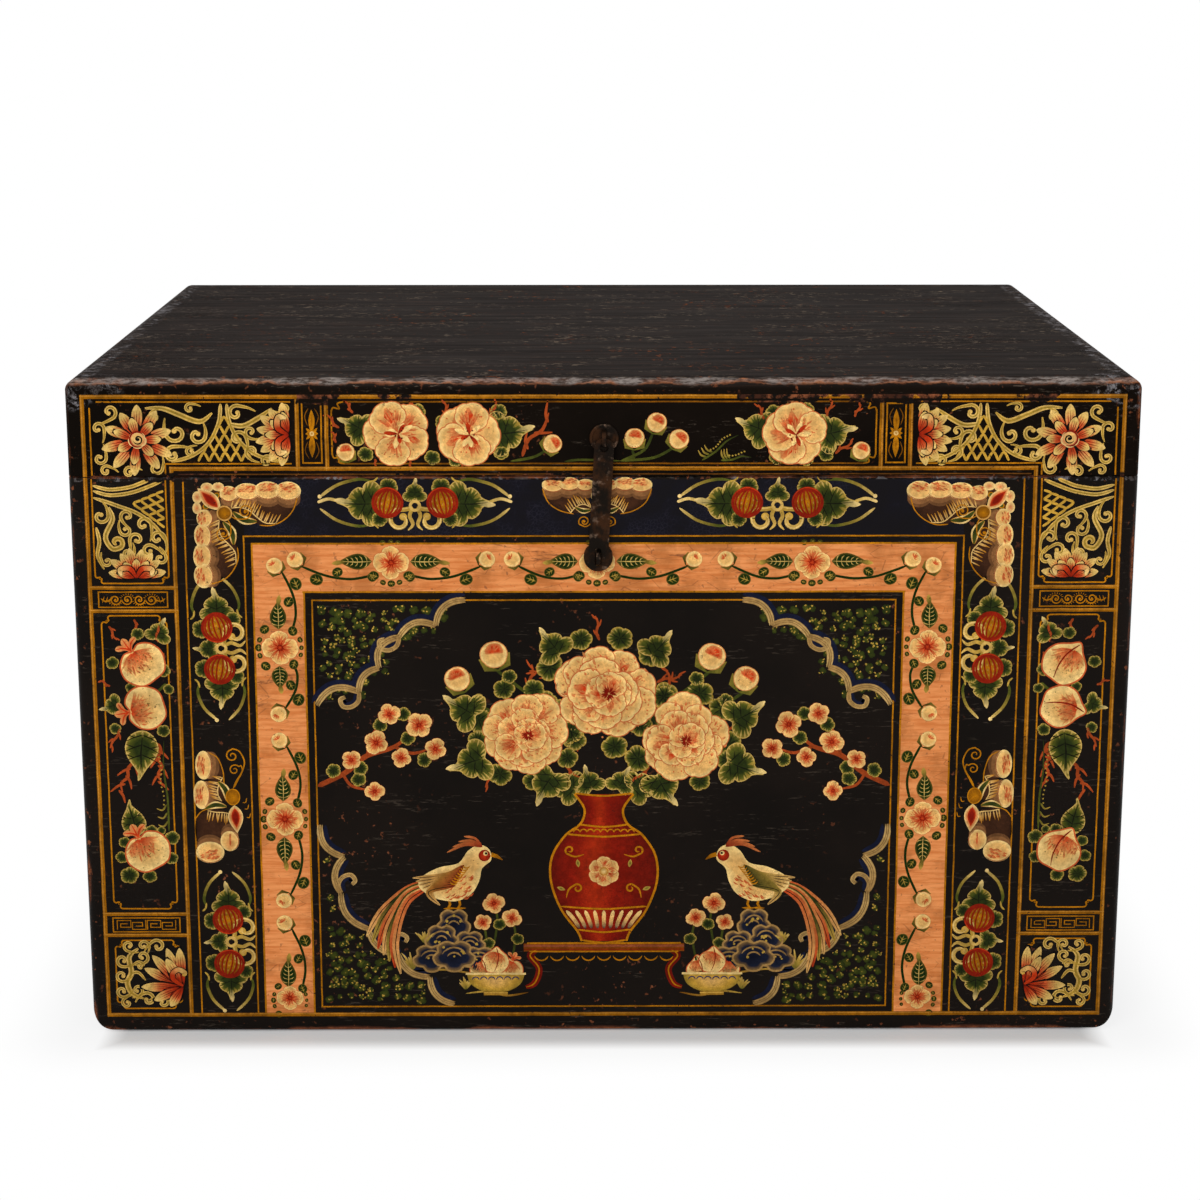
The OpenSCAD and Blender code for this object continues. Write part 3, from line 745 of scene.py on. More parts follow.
def core(colour, edge, reach=0):
    """A fill's stops: one colour out to a share of the way, then shading into another at the edge."""
    return [(0, colour)] + [(reach, colour)] * (reach > 0) + [(1, edge)]


def blend(a, b, share):
    """A colour between two colours."""
    return tuple(p + (q - p) * share for p, q in zip(a, b))


# Motifs, each drawn from its own origin

def bent(tall, bend):
    """The middle line of a petal from the origin along +Z, bent sideways at its tip."""
    return smooth([(0, 0), (bend * 0.35, tall * 0.35), (bend * 0.8, tall * 0.7), (bend, tall)], steps=4)


def brush_petal(art, tall, wide, foot, tip, bend=0):
    """A pointed petal in one brush stroke from the origin along +Z, shaded from foot to tip."""
    art.stroke(bent(tall, bend), wide, foot, tip, ends=(0.65, 0.45), thin=0.12)


def veined_leaf(art, outline, tall, veins):
    """A green leaf with brushed pale edges and dark veins; it grows from the origin along +Z."""
    rim = T.leaf_rim
    heart = (0, tall * 0.34)
    art.fill(outline,
        [(0, T.leaf), (0.45, T.leaf), (0.8, T.leaf_mid), (1, blend(T.leaf_mid, rim, 0.55))], heart)
    art.outline(outline, tall * 0.022, blend(rim, T.pale, 0.25), coat=0.1)
    for x, z in outline[::2]:
        share = art.vary(0.1, 0.42)
        inner = (x + (heart[0] - x) * share, z + (heart[1] - z) * share)
        art.stroke([(x, z), inner], tall * 0.042, blend(rim, T.pale, 0.4),
            blend(T.leaf_mid, rim, 0.4), ends=(0.1, 0.8), coat=0.2)
    dark = blend(T.leaf, T.ground, 0.85)
    art.stroke([(0, tall * 0.04), (tall * 0.02, tall * 0.45), (0, tall * 0.84)],
        tall * 0.03, dark, coat=0.4)
    for k in range(veins):
        low = tall * (0.08 + 0.2 * k)
        for s in (-1, 1):
            art.stroke(smooth([(0, low), (s * tall * 0.17, low + tall * 0.07), (s * tall * 0.36,
                low + tall * 0.17)], steps=3), tall * 0.024, dark, ends=(0.1, 0.7), coat=0.4)
            art.stroke([(s * tall * 0.15, low + tall * 0.06), (s * tall * 0.32, low + tall * 0.01)],
                tall * 0.022, dark, ends=(0.1, 0.7), coat=0.4)


def vine_leaf(art, tall):
    """A leaf of rounded lobes with a long pale tip."""
    half = [(0, 0.02), (0.16, -0.07), (0.36, -0.08), (0.52, 0.04), (0.54, 0.2), (0.44, 0.32), (0.36, 0.34),
        (0.38, 0.46), (0.28, 0.6), (0.13, 0.68), (0.05, 0.82), (0, 0.96)]
    outline = smooth(mirrored(sized(half, tall)), True, 3)
    veined_leaf(art, outline, tall, 2)
    tip = art.at(0, tall * 0.54, coat=0.3)
    brush_petal(tip, tall * 0.48, tall * 0.15, T.leaf_mid, T.pale, tall * art.hand.choice((-0.06, 0.06)))
    for s in (-1, 1):
        brush_petal(tip.at(s * tall * 0.1, -tall * 0.04, -s * 30), tall * 0.2,
            tall * 0.08, T.leaf_mid, T.leaf_rim)


def peeping_leaf(art, r):
    """A small scalloped leaf behind a flower, with veins that fan out."""
    rim, lobes = T.leaf_rim, 5
    outline = lobed(r, r * 0.92, lobes, 0.14, 90)
    art.fill(outline, [(0, T.leaf), (0.45, T.leaf), (0.78, T.leaf_mid), (1, rim)], (0, 0))
    for x, z in outline[::2]:
        share = art.vary(0.5, 0.85)
        art.stroke([(x, z), (x * share, z * share)], r * 0.095, blend(rim, T.pale, 0.45),
            T.leaf_mid, ends=(0.1, 0.7), coat=0.2)
    for k in range(lobes + 2):
        a = radians(90 + 360 * (k + 0.5) / (lobes + 2))
        art.stroke([(0, 0), (r * 0.88 * cos(a), r * 0.8 * sin(a))], r * 0.07,
            blend(T.leaf, T.ground, 0.85), ends=(0.1, 0.6), coat=0.4)


def streaks(art, count, inner, outer, width, colour, start=0, span=360, coat=0.5, tip=None):
    """Fine strokes that fan out from the origin."""
    vary = art.vary
    for i in range(count):
        a = radians(start + span * (i + vary(0.2, 0.8)) / count)
        near = inner * vary(0.7, 1.3)
        far = outer * vary(0.65, 1)
        bend = vary(-0.12, 0.12)
        art.stroke([(near * cos(a), near * sin(a)), ((near + far) / 2 * cos(a + bend), (near + far) / 2
            * sin(a + bend)), (far * cos(a), far * sin(a))], width, colour, tip, ends=(0.5, 0.5), coat=coat)


def petal(art, reach, r, wash):
    """A broad scalloped petal off the flower's middle along +Z, brushed with red from its foot."""
    vary = art.vary
    outline = [(x, z + reach) for x, z in lobed(r * 1.1, r * 0.92, 6, 0.08, vary(0, 60), 6)]
    soft = blend(T.cream, T.wash, wash * 0.7)
    art.fill(outline, [(0, soft), (0.4, blend(T.cream, T.wash, wash * 0.35)), (0.78, T.cream),
        (1, T.pale)], (0, reach - r * 0.4))
    art.outline(outline, r * 0.06, blend(T.wash, T.cream, 0.3), coat=0.2)
    lean = vary(-0.35, 0.35)
    if wash > 0.35:
        foot = reach - r * vary(0.65, 0.35)
        far = foot + r * (0.35 + 0.75 * wash)
        art.stroke([(lean * r * 0.3, foot), (lean * r * 0.6, (foot + far) / 2), (lean * r, far)],
            r * (0.2 + 0.5 * wash), (blend(T.wash, T.red, 0.3), T.wash, blend(T.cream, T.wash, 0.45)),
            ends=(0.5, 0.7), thin=0.25, coat=0.25)
    for _ in range(int(9 + 15 * wash)):
        a = lean + vary(-0.75, 0.75)
        near = vary(0.3, 0.8)
        far = min(near + vary(0.2, 0.75) * (0.5 + wash), 1.55 - abs(a) * 0.4)
        shade = blend(T.wash, T.red, vary(0, 0.7) * wash)
        spots = [(sin(a) * r * share * 0.9, reach - r + r * share * cos(a * 0.8))
            for share in (near, (near + far) / 2, far)]
        art.stroke(spots, r * vary(0.07, 0.17), shade,
            blend(T.cream, T.wash, 0.45), ends=(0.5, 0.5), coat=0.3)
    for _ in range(6):
        a = vary(0, 6.28)
        x, z = r * vary(0.2, 0.8) * cos(a), reach + r * vary(0.2, 0.7) * sin(a)
        art.stroke([(x, z), (x * 0.92, z - r * 0.12)], r * vary(0.05, 0.1), T.wash,
            blend(T.wash, T.cream, 0.4), coat=0.4)


def peony(art, r, start):
    """An open flower of broad washed petals of uneven size."""
    petals, hand, vary = 5, art.hand, art.vary
    order = list(range(petals))
    hand.shuffle(order)
    for layer, k in enumerate(order):
        turn = start + 360 * k / petals + vary(-12, 12)
        size = vary(0.46, 0.6)
        petal(art.at(0, 0, turn, coat=0.5 * layer), r * (1.04 - size),
            r * size, hand.choice((0.2, 0.5, 0.8, 1)))
    top = art.at(r * 0.04, -r * 0.03, coat=0.5 * petals)
    streaks(top, 18, r * 0.03, r * 0.42, r * 0.08, T.wash, tip=blend(T.wash, T.cream, 0.6))
    for k in range(6):
        a = start + 30 + 60 * k + vary(-18, 18)
        brush_petal(top.at(0, 0, a, coat=0.7), r * vary(0.28, 0.5), r * 0.16, T.cream, T.pale)
    for k in range(3):
        a = start + 65 + 120 * k + vary(-20, 20)
        brush_petal(top.at(0, 0, a, coat=0.9), r * vary(0.26, 0.42), r * 0.13, T.red, T.wash)
    for _ in range(5):
        top.dot(r * vary(-0.2, 0.2), r * vary(-0.2, 0.2), r * 0.03, blend(T.red, T.ground, 0.5), coat=1.2)


def bud(art, r, calyx=None):
    """A round bud on its calyx; the bud opens along +Z."""
    small = calyx is not None
    calyx = calyx or T.leaf_mid
    for s in (-1, 1):
        art.stroke([(0, -r * 1.25), (s * r * 0.8, -r * 0.9), (s * r * 1.12, -r * 0.1)], r * 0.5, calyx,
            blend(calyx, T.leaf_rim, 0.4), ends=(0.3, 0.6))
    art.fill(lobed(r, r, 3, 0.05, 90, 8), core(T.cream, T.pale, 0.6), (0, 0), coat=0.2)
    if not small:
        cap = smooth([(-r * 0.6, r * 0.2), (-r * 0.2, r * 0.82), (r * 0.55, r * 0.7),
            (r * 0.72, 0), (r * 0.2, r * 0.02)], True)
        art.fill(cap, core(T.wash, blend(T.cream, T.wash, 0.45), 0.5), coat=0.4)
    streaks(art.at(-r * 0.1, r * 0.1), 7, r * 0.1, r * 0.75, r * 0.15, T.wash, 20,
        140, 0.6, blend(T.wash, T.cream, 0.4))
    art.outline(lobed(r, r, 3, 0.05, 90, 8), r * 0.07, blend(T.cream, T.wash, 0.45), coat=0.3)


def twig(art, size, forks=3):
    """A branch of coral that grows along +Z with short forks."""
    vary = art.vary
    x, z = 0, 0
    path = [(x, z)]
    for k in range(forks):
        x += (1 if k % 2 else -1) * size * vary(0.05, 0.11)
        z += size / forks
        path.append((x, z))
    thick = 1.6 + size * 0.035
    for k, (x, z) in enumerate(path[:-1]):
        side = 1 if k % 2 else -1
        z += size * 0.18
        art.stroke(smooth([(x, z), (x + side * size * 0.14, z + size * 0.1),
            (x + side * size * vary(0.2, 0.28), z + size * vary(0.22, 0.34))], steps=3), thick * 0.8,
            T.coral, ends=(0.1, 0.6), thin=0.4)
    art.stroke(smooth(path, steps=4), thick, blend(T.coral, T.ground, 0.25), T.coral,
        ends=(0.1, 0.5), thin=0.35, coat=0.1)


def melon(art, r):
    """A ribbed melon: golden brown between dark red lines that meet at its ends."""
    rind = blend(T.gold, T.ochre, 0.6)
    art.fill(arc(0, 0, r, 0, 350, 35), [(0, T.gold), (0.45, rind), (1, blend(rind, T.red, 0.4))], (0, 0))
    deep = blend(T.red, T.wash, 0.12)
    for wide, thick in ((0.2, 0.1), (0.52, 0.12), (0.8, 0.12), (1, 0.2)):
        art.outline([(x * wide, z * (0.9 if wide < 1 else 1)) for x, z in arc(0, 0, r * 0.93, 0, 345, 23)],
            r * thick, deep, coat=0.5 + 0.1 * wide)
    for across in (-0.66, -0.36, 0, 0.36, 0.66):
        for z in (-0.45, -0.1, 0.25):
            x = across * r * sqrt(1 - z * z)
            art.stroke([(x, r * (z - 0.1)), (x, r * (z + 0.14))], r * art.vary(0.06, 0.11),
                blend(T.gold, T.pale, 0.2), T.ochre, coat=0.4)
    art.stroke(arc(0, 0, r * 0.97, 20, 160, 12), r * 0.06, T.wash, coat=0.8)


def lotus(art, r):
    """A full lotus of long pointed petals round a rolled heart."""
    vary = art.vary
    for ring, (count, reach, wide, start) in enumerate(((10, 1, 0.3, 0), (7, 0.64, 0.26, 16))):
        for k in range(count):
            leaf = art.at(0, 0, start + 360 * k / count + vary(-6, 6), coat=0.8 * ring)
            lotus_petal(leaf.at(0, r * 0.1), r * reach * vary(0.8, 0.97), r * wide,
                k % 4 == 0, vary(-1.5, 1.5), ring > 0)
    heart = art.at(0, 0, coat=3)
    heart.fill(lobed(r * 0.27, r * 0.25, 5, 0.1, 20), core(T.wash, T.pale, 0.5))
    heart.fill(arc(0, r * 0.02, r * 0.17, 0, 345, 23),
        [(0, T.pale), (0.6, T.cream), (1, T.cream)], coat=0.4)
    heart.stroke(curl(r * 0.02, r * 0.02, r * 0.15, 200, 1.1, 0.3), r * 0.045, T.ground, coat=0.6)
    heart.dot(r * 0.02, r * 0.02, r * 0.05, T.ground, coat=0.7)
    heart.stroke(arc(0, r * 0.02, r * 0.22, 30, 300, 16), r * 0.05, T.red, coat=0.6)


def half_lotus(art, r):
    """Half a lotus that opens along +Z, with two rolled petals in front."""
    spread = 84
    for ring, (count, reach, wide) in enumerate(((8, 1, 0.29), (5, 0.66, 0.27))):
        for k in range(count):
            a = -spread + 2 * spread * k / (count - 1) + art.vary(-3, 3)
            leaf = art.at(0, 0, a, coat=0.8 * ring)
            lotus_petal(leaf.at(0, r * 0.06), r * reach * art.vary(0.86, 1),
                r * wide, False, a * 0.03, ring > 0)
    for s in (-1, 1):
        roll = smooth([(0, 0), (s * r * 0.2, r * 0.3), (s * r * 0.52, r * 0.28), (s * r * 0.5, r * 0.06)])
        art.stroke(roll, r * 0.24, T.ground, ends=(0.3, 0.3), coat=1.9)
        art.stroke(roll, r * 0.17, (T.red, T.wash, T.cream, T.pale), ends=(0.4, 0.3), thin=0.3, coat=2)


def volute(art, r, tail, bend, width):
    """A scroll that uncurls round the origin and runs off along -Z to a thin tail."""
    path = list(reversed(curl(0, 0, r, 0, 0.8, 0.3)))
    path += smooth([(r, 0), (r * 0.94, -r * 0.6),
        (r * (0.62 + bend * 0.3), -r * tail * 0.66), (r * bend, -r * tail)])[1:]
    scroll_stroke(art, path, width, (0.1, 0.55))
    x, z = path[0]
    art.dot(x * 0.8, z * 0.8, width * 0.62, blend(T.scroll, T.pale, 0.2),
        blend(T.scroll, T.pale, 0.45), coat=0.1)


def scroll_stroke(art, path, width, ends=(0.3, 0.3)):
    """A thick scroll line: yellow edges round an olive-brown heart."""
    art.stroke(path, width, blend(T.scroll, T.pale, 0.42),
        blend(T.scroll, T.pale, 0.2), ends=ends, thin=0.3)
    art.stroke(path, width * 0.4, blend(T.scroll, T.leaf_mid, 0.55),
        blend(T.scroll, T.leaf_mid, 0.3), ends=(0.4, 0.3), coat=0.3)


def lotus_petal(art, tall, wide, pale, bend=0, gap=True):
    """A broad pointed petal along +Z: dark red foot, salmon, then a cream-green point, with red veins."""
    if gap:
        art.stroke([(0, 0), (bend * 0.4, tall * 0.5), (bend, tall * 1.05)], wide * 1.45, T.ground,
            ends=(0.6, 0.4), thin=0.3, coat=-0.1)
    flush = blend(T.wash, T.cream, 0.6 if pale else 0.18)
    tones = (blend(T.red, T.ground, 0.4), blend(T.wash, T.red, 0.35), flush,
        blend(T.scroll, T.pale, 0.4), blend(T.scroll, T.pale, 0.65))
    art.stroke(bent(tall, bend), wide, tones, ends=(0.62, 0.36), thin=0.1)
    for across, shade in ((-0.2, T.red), (0, T.ground), (0.22, T.red)):
        art.stroke([(0, tall * 0.12), (wide * across + bend * 0.4, tall * 0.45),
            (wide * across * 1.2 + bend * 0.8, tall * 0.8)], wide * 0.1,
            blend(shade, T.wash, 0.25), ends=(0.2, 0.7), coat=0.3)


def double_scroll(art, width, tall):
    """Two thick cream hooks that meet under a small ring."""
    half = width / 2
    light = blend(T.scroll, T.pale, 0.32)
    for side in mirror_pair(art):
        path = smooth([(half * 0.08, tall * 0.34), (half * 0.4, tall * 0.26), (half * 0.86, tall * 0.2),
            (half * 1.02, -tall * 0.16)]) + curl(half * 0.62, -tall * 0.22, half * 0.4, 10, -0.66, 0.5)
        side.stroke(path, tall * 0.19, blend(T.scroll, T.leaf_mid, 0.3), light,
            ends=(0.1, 0.15), thin=0.45, coat=0.2)
        side.stroke(beside(path, tall * 0.04), tall * 0.05, light, T.pale, ends=(0.3, 0.3), coat=0.5)
        side.dot(*path[-1], tall * 0.17, T.scroll, light, coat=0.4)
        tail = smooth([(half * 0.08, tall * 0.34), (half * 0.22, -tall * 0.02),
            (half * 0.1, -tall * 0.4), (half * 0.3, -tall * 0.66)])
        side.stroke(tail, tall * 0.16, blend(T.scroll, T.leaf_mid, 0.3), light, ends=(0.2, 0.5), coat=0.1)
    art.outline(arc(0, tall * 0.42, tall * 0.2, 0, 340, 17), tall * 0.13, light, coat=0.3)


def melon_group(art, gap, tail=True, reach=36, span=58, ribs=0):
    """Two melons side by side among vine leaves, over a double scroll, between green arcs."""
    for side in mirror_pair(art):
        vine_leaf(side.at(gap + 9, -1, -88), reach)
        if tail:
            side.flow([(gap + reach + 3, 0), (gap + reach + 14, 3.5), (gap + reach + 24, 0.5)], 2.6,
                T.leaf_rim, T.pale, ends=(0.2, 0.1), thin=0.5, coat=0.2)
        green = (T.leaf_mid, T.leaf_mid, blend(T.leaf_mid, T.leaf_rim, 0.6), blend(T.leaf_rim, T.pale, 0.5))
        for way, width in ((1, 2.7), (-1, 2.5)):
            path = [(gap + 12 + (span - 12) * t, way * rise)
                for t, rise in ((0, 18.5), (0.28, 20.5), (0.68, 15.5), (1, 5))]
            side.flow(path, width, green, ends=(0.4, 0.15), thin=0.3)
            x, z = path[0]
            side.flow([(x + 4, z), (x - 1, z + way), (x - 4, z + way * 4)], 1.6, T.leaf_rim, coat=0.1)
        side.dot(gap + span, 5.5, 1.8, T.pale, coat=0.2)
        peeping_leaf(side.at(gap - 1, 14, coat=0.3), 8.5)
        peeping_leaf(side.at(gap + 7, -14.5, 200, coat=0.3), 7)
        melon(side.at(gap, 0, 12 + ribs, coat=1.2), 13.4)
    vine_leaf(art.at(0, 3, coat=0.8), 19)
    double_scroll(art.at(0, -11, coat=1), 42, 20)


def pomegranate(art, r):
    """A pomegranate with its crown along +Z."""
    body = [(0, -0.88), (0.64, -0.78), (1.04, -0.14), (0.92, 0.5), (0.46, 0.84), (0.04, 0.74),
        (-0.38, 0.84), (-0.88, 0.48), (-1.04, -0.14), (-0.64, -0.78)]
    body = smooth(sized(body, r), True)
    flush = blend(T.wash, T.cream, 0.3)
    for path, wide in (([(0, 0.8), (-0.16, 1.08), (-0.52, 1.26)], 0.28),
            ([(0, 0.8), (0.22, 1.06), (0.56, 1.16)], 0.27), ([(0, 0.6), (0, 1), (0.04, 1.46)], 0.36)):
        path = smooth(sized(path, r))
        art.stroke(path, r * wide, (flush, flush, blend(T.cream, T.wash, 0.35)), ends=(0.9, 0.25), coat=0.1)
        art.stroke(path, r * 0.07, T.wash, ends=(0.3, 0.6), coat=0.3)
    fruit_skin(art, body, r, 0)


def peach(art, r):
    """A peach with its point along +Z."""
    body = smooth([(0, -0.92), (0.6, -0.84), (1, -0.2), (0.88, 0.42), (0.4, 0.86), (0.02, 1.16),
        (-0.36, 0.84), (-0.9, 0.4), (-1, -0.2), (-0.6, -0.84)], True)
    fruit_skin(art, sized(body, r), r, -10)
    art.flow([(0, r * 1.1), (r * 0.2, r * 0.4), (r * 0.14, -r * 0.3), (-r * 0.06, -r * 0.85)],
        r * 0.07, T.red, ends=(0.2, 0.5), coat=2.1)


def sprig(art, tall, beads):
    """A bending green sprig with a row of pale beads, growing along +Z."""
    path = smooth([(0, 0), (1.5, tall * 0.35), (0.5, tall * 0.7), (3, tall)])
    art.stroke(path, 1.7, T.leaf_mid, T.leaf, ends=(0.1, 0.6))
    for k in range(beads):
        z = tall * (0.3 + 0.62 * k / beads)
        art.dot(-2.4 + 0.8 * sin(k * 0.9), z, 0.8, blend(T.leaf_mid, T.leaf_rim, 0.7), coat=0.3)
    for z in (0.06, 0.15, 0.24):
        art.flow([(0, tall * (z + 0.06)), (-4, tall * z), (-9, tall * (z + 0.02))], 1.6,
            T.leaf_mid, T.leaf_rim, ends=(0.2, 0.6))


def hanging_leaf(art, tall):
    """A single broad leaf that ends in a curled pale tip."""
    half = [(0, 0), (0.22, 0.1), (0.32, 0.32), (0.26, 0.55), (0.12, 0.74), (0.05, 0.86), (0.06, 1)]
    outline = sized(half, tall) + [(-x * tall + 0.02 * tall, z * tall) for x, z in reversed(half[1:-1])]
    veined_leaf(art, smooth(outline, True, 3), tall, 3)


def wing(art, field, lobes, shade, edge, comb, aim):
    """A wing: a brown field with a gold edge, tan scallops, cream lobes, and a comb of fine gold rays."""
    middle = [sum(p[k] for p in field) / len(field) for k in (0, 1)]
    art.fill(smooth(field, True, 5), core(T.brown, blend(T.brown, T.ground, 0.5), 0.6), middle, coat=0.1)
    for reach, colour, coat in ((7, blend(T.tan, T.brown, 0.5), 0.2), (4.2, T.tan, 0.3)):
        for x, z, rx, rz in lobes:
            art.at(x + shade[0] * reach,
                z + shade[1] * reach).fill(lobed(rx, rz, 2, 0.02, 0, 12), colour, (0, 0), coat=coat)
    for x, z, rx, rz in lobes:
        wing_lobe(art.at(x, z, coat=0.8), rx, rz, (-shade[0], -shade[1]))
    light = blend(T.gold, T.pale, 0.65)
    art.flow(edge, 1, T.gold, ends=(0.1, 0.1), coat=0.45)
    path = smooth(comb)
    art.stroke(path, 0.9, light, ends=(0.1, 0.1), coat=0.45)
    count = int(sum(dist(a, b) for a, b in zip(path, path[1:])) / 2.1)
    for k in range(count):
        x, z = path[int((k + 0.5) / count * (len(path) - 1))]
        tall = art.vary(8, 11)
        lean = art.vary(-0.16, 0.16)
        art.stroke([(x, z), (x + (aim[0] - lean * aim[1]) * tall, z + (aim[1] + lean * aim[0]) * tall)],
            1.15, light, T.gold, ends=(0.05, 0.5), thin=0.35, coat=0.7)


def wing_spot(art, tall):
    """The green drop near the body with its gold rim, bowed a little."""
    bow = smooth([(0, 0), (tall * 0.14, tall * 0.5), (0, tall)])
    art.stroke(bow, tall * 0.34, (T.gold, T.pale, T.gold), ends=(0.5, 0.5), coat=0.9)
    art.stroke(bow, tall * 0.2, (T.leaf_mid, T.leaf, T.leaf_mid), ends=(0.5, 0.5), coat=1)


def butterfly_body(art, r, tall):
    """Round gold chest, a red belly along +Z and feelers that roll up along -Z."""
    blush = blend(T.cream, T.wash, 0.55)
    art.fill(drop(tall, r * 2.1, 0.45), core(blush, T.pale, 0.7), coat=1.2)
    art.at(0, tall * 0.12).fill(drop(tall * 0.7, r * 1.15, 0.45), core(T.red, T.wash, 0.6), coat=1.4)
    art.dot(0, -r * 0.7, r, blend(T.ochre, T.brown, 0.2), T.gold, coat=1.5)
    art.outline(arc(0, -r * 0.7, r, 0, 340, 17), r * 0.2, blend(T.gold, T.pale, 0.3), coat=1.7)
    for side in mirror_pair(art):
        side.stroke(smooth([(r * 0.3, -r * 1.6), (r * 0.7, -r * 2.6), (r * 1.9, -r * 3.5),
            (r * 3.05, -r * 3.1)]) + curl(r * 2.2, -r * 2.6, r * 1, -32, 1.35), 1.05, T.gold,
            ends=(0.1, 0.2), thin=0.5, coat=1)
        side.dot(r * 2.2, -r * 2.6, r * 0.22, T.gold, coat=1)


def corner_butterfly(art):
    """A butterfly set across the corner, its belly towards the corner above left."""
    for s in (0, 1):
        side = art.at(0, 0, 90 * s, flip=bool(s))
        wing(side, [(2, 8), (9, 3), (18, -3), (29, -9), (39, -9.5), (50, -4), (59, 7), (62, 18),
            (40, 16), (20, 14), (6, 13)], [(3.5, 18, 7.5, 6.6), (19, 20, 10.5, 7.2), (37, 21, 11, 7.6),
            (54.5, 20.5, 10.5, 8)], (0, -1), [(62.5, 17), (58.5, 4), (50, -5), (39.5, -9.8), (29, -9.4)],
            [(5, 5.5), (13, 6), (21, 3), (27, -2.5), (34, -7.5), (44, -8)], (0.42, 0.9))
        wing_spot(side.at(6.5, 2, -112), 22)
        small = side.at(-9, 19)
        small.fill(lobed(9.5, 7.5, 3, 0.12, 0), T.brown, coat=0.3)
        streaks(small, 16, 2, 8, 0.5, T.gold, 0, 360, 0.5)
        for x, z, rx, rz in ((-6, 4.6, 5.5, 4.2), (3.6, 5.2, 5.2, 3.8)):
            small.at(x, z, coat=0.9).fill(lobed(rx, rz, 2, 0.02), core(blend(T.cream, T.wash, 0.7), T.pale))
        small.dot(2, -2.5, 2.6, T.gold, coat=1)
        small.dot(2, -2.5, 1.7, T.leaf_mid, coat=1.1)
    butterfly_body(art.at(-4, 4, 45), 6.2, 27)


def side_butterfly(art):
    """A butterfly with its head up; the border cuts off its far wings."""
    wing(art, [(-12, 37), (-8, 26), (-8, 12), (-5, 0), (-12, -6), (-22, -9), (-22, 8), (-18, 22)],
        [(-25, 29.4, 7, 12.7), (-27.6, 2, 6.8, 12.7)], (1, 0), [(-20, 41), (-12.5, 36), (-8.2, 24),
        (-7.4, 12), (-6, 4)], [(-8.5, 18), (-12.5, 10), (-13, 2), (-10, -4)], (-0.9, 0.25))
    wing(art, [(-33, -20), (-24, -11), (-12, -12), (-4, -15), (2, -26), (-2, -34), (-12, -40), (-32, -42)],
        [(-21.8, -51.5, 12, 9.6), (-4, -41, 7.8, 9)], (0, 1), [(-33.5, -20), (-29, -14), (-23, -11)],
        [(-23, -12.5), (-16, -14), (-9, -14.5), (-4, -15.5)], (-0.1, -1))
    wing_spot(art.at(-5, -4, 22), 20)
    wing_spot(art.at(-6, -9, 96), 19)
    body = art.at(0, 0, coat=0.5)
    blush = blend(T.cream, T.wash, 0.5)
    body.at(1, -7.5, 184).fill(drop(26, 13.5, 0.42), core(blush, T.pale, 0.7), coat=1.2)
    body.at(1.2, -10.5, 184).fill(drop(18, 7.5, 0.45), core(T.red, T.wash, 0.6), coat=1.4)
    oval = arc(0, 0, 6, 0, 345, 23, 1.2)
    body.fill(oval, core(T.gold, T.ochre), coat=1.5)
    body.outline(oval, 1, T.gold, coat=1.6)
    body.stroke(smooth([(0.5, 8), (3, 14), (9, 24), (11, 33), (7, 42), (1, 44.5)]) + curl(0.5, 38, 5.6, 100,
        1.3), 1.2, T.gold, ends=(0.1, 0.2), thin=0.5, coat=1)
    body.stroke(smooth([(1.5, 9), (5, 16), (9, 24), (8, 29)]) + curl(2, 25, 5, 40, 1.3), 1.1, T.gold,
        ends=(0.1, 0.2), thin=0.5, coat=1)
    for x, z in ((8.5, -5), (10, -11), (11.5, -19)):
        body.flow([(x, z), (x + 2.5, z), (x + 3.5, z + 4)], 0.8, T.gold)


def band_flower(art, r):
    """Four lobed petals with red brushwork in their middle."""
    for k, a in enumerate((0, 180, 90, 270)):
        side = art.at(0, 0, a + art.vary(-6, 6), coat=0.5 * (k // 2))
        petal(side, r * 0.54, r * (0.47 if k < 2 else 0.53), 0.4)
    heart = art.at(0, 0, coat=1.4)
    heart.fill(lobed(r * 0.4, r * 0.36, 4, 0.14, 45),
        [(0, T.wash), (0.5, blend(T.wash, T.cream, 0.25)), (1, blend(T.wash, T.cream, 0.7))])
    streaks(heart, 22, r * 0.05, r * 0.82, r * 0.105, T.wash, tip=blend(T.wash, T.cream, 0.35))
    streaks(heart, 9, r * 0.05, r * 0.5, r * 0.08, T.red, tip=T.wash, coat=0.7)
    for a in range(0, 360, 60):
        heart.at(0, 0, a).stroke([(-r * 0.16, r * 0.1), (r * 0.16, r * 0.16)], r * 0.05, T.red, coat=0.8)


def leaflet(art, r):
    """A round leaf of the vine with yellow veins."""
    art.fill(lobed(r * 0.92, r, 2, 0.03, 0, 9),
        core(T.vine, blend(T.vine, T.leaf_rim, 0.25), 0.8), (0, 0), coat=0.2)
    vein = blend(T.vine, T.leaf_rim, 0.75)
    for points in ([(0, -r * 0.8), (0, r * 0.75)], [(-r * 0.55, r * 0.4), (0, -r * 0.05),
            (r * 0.55, r * 0.42)], [(-r * 0.5, -r * 0.15), (0, -r * 0.5), (r * 0.5, -r * 0.12)]):
        art.stroke(points, r * 0.15, vein, coat=0.4)


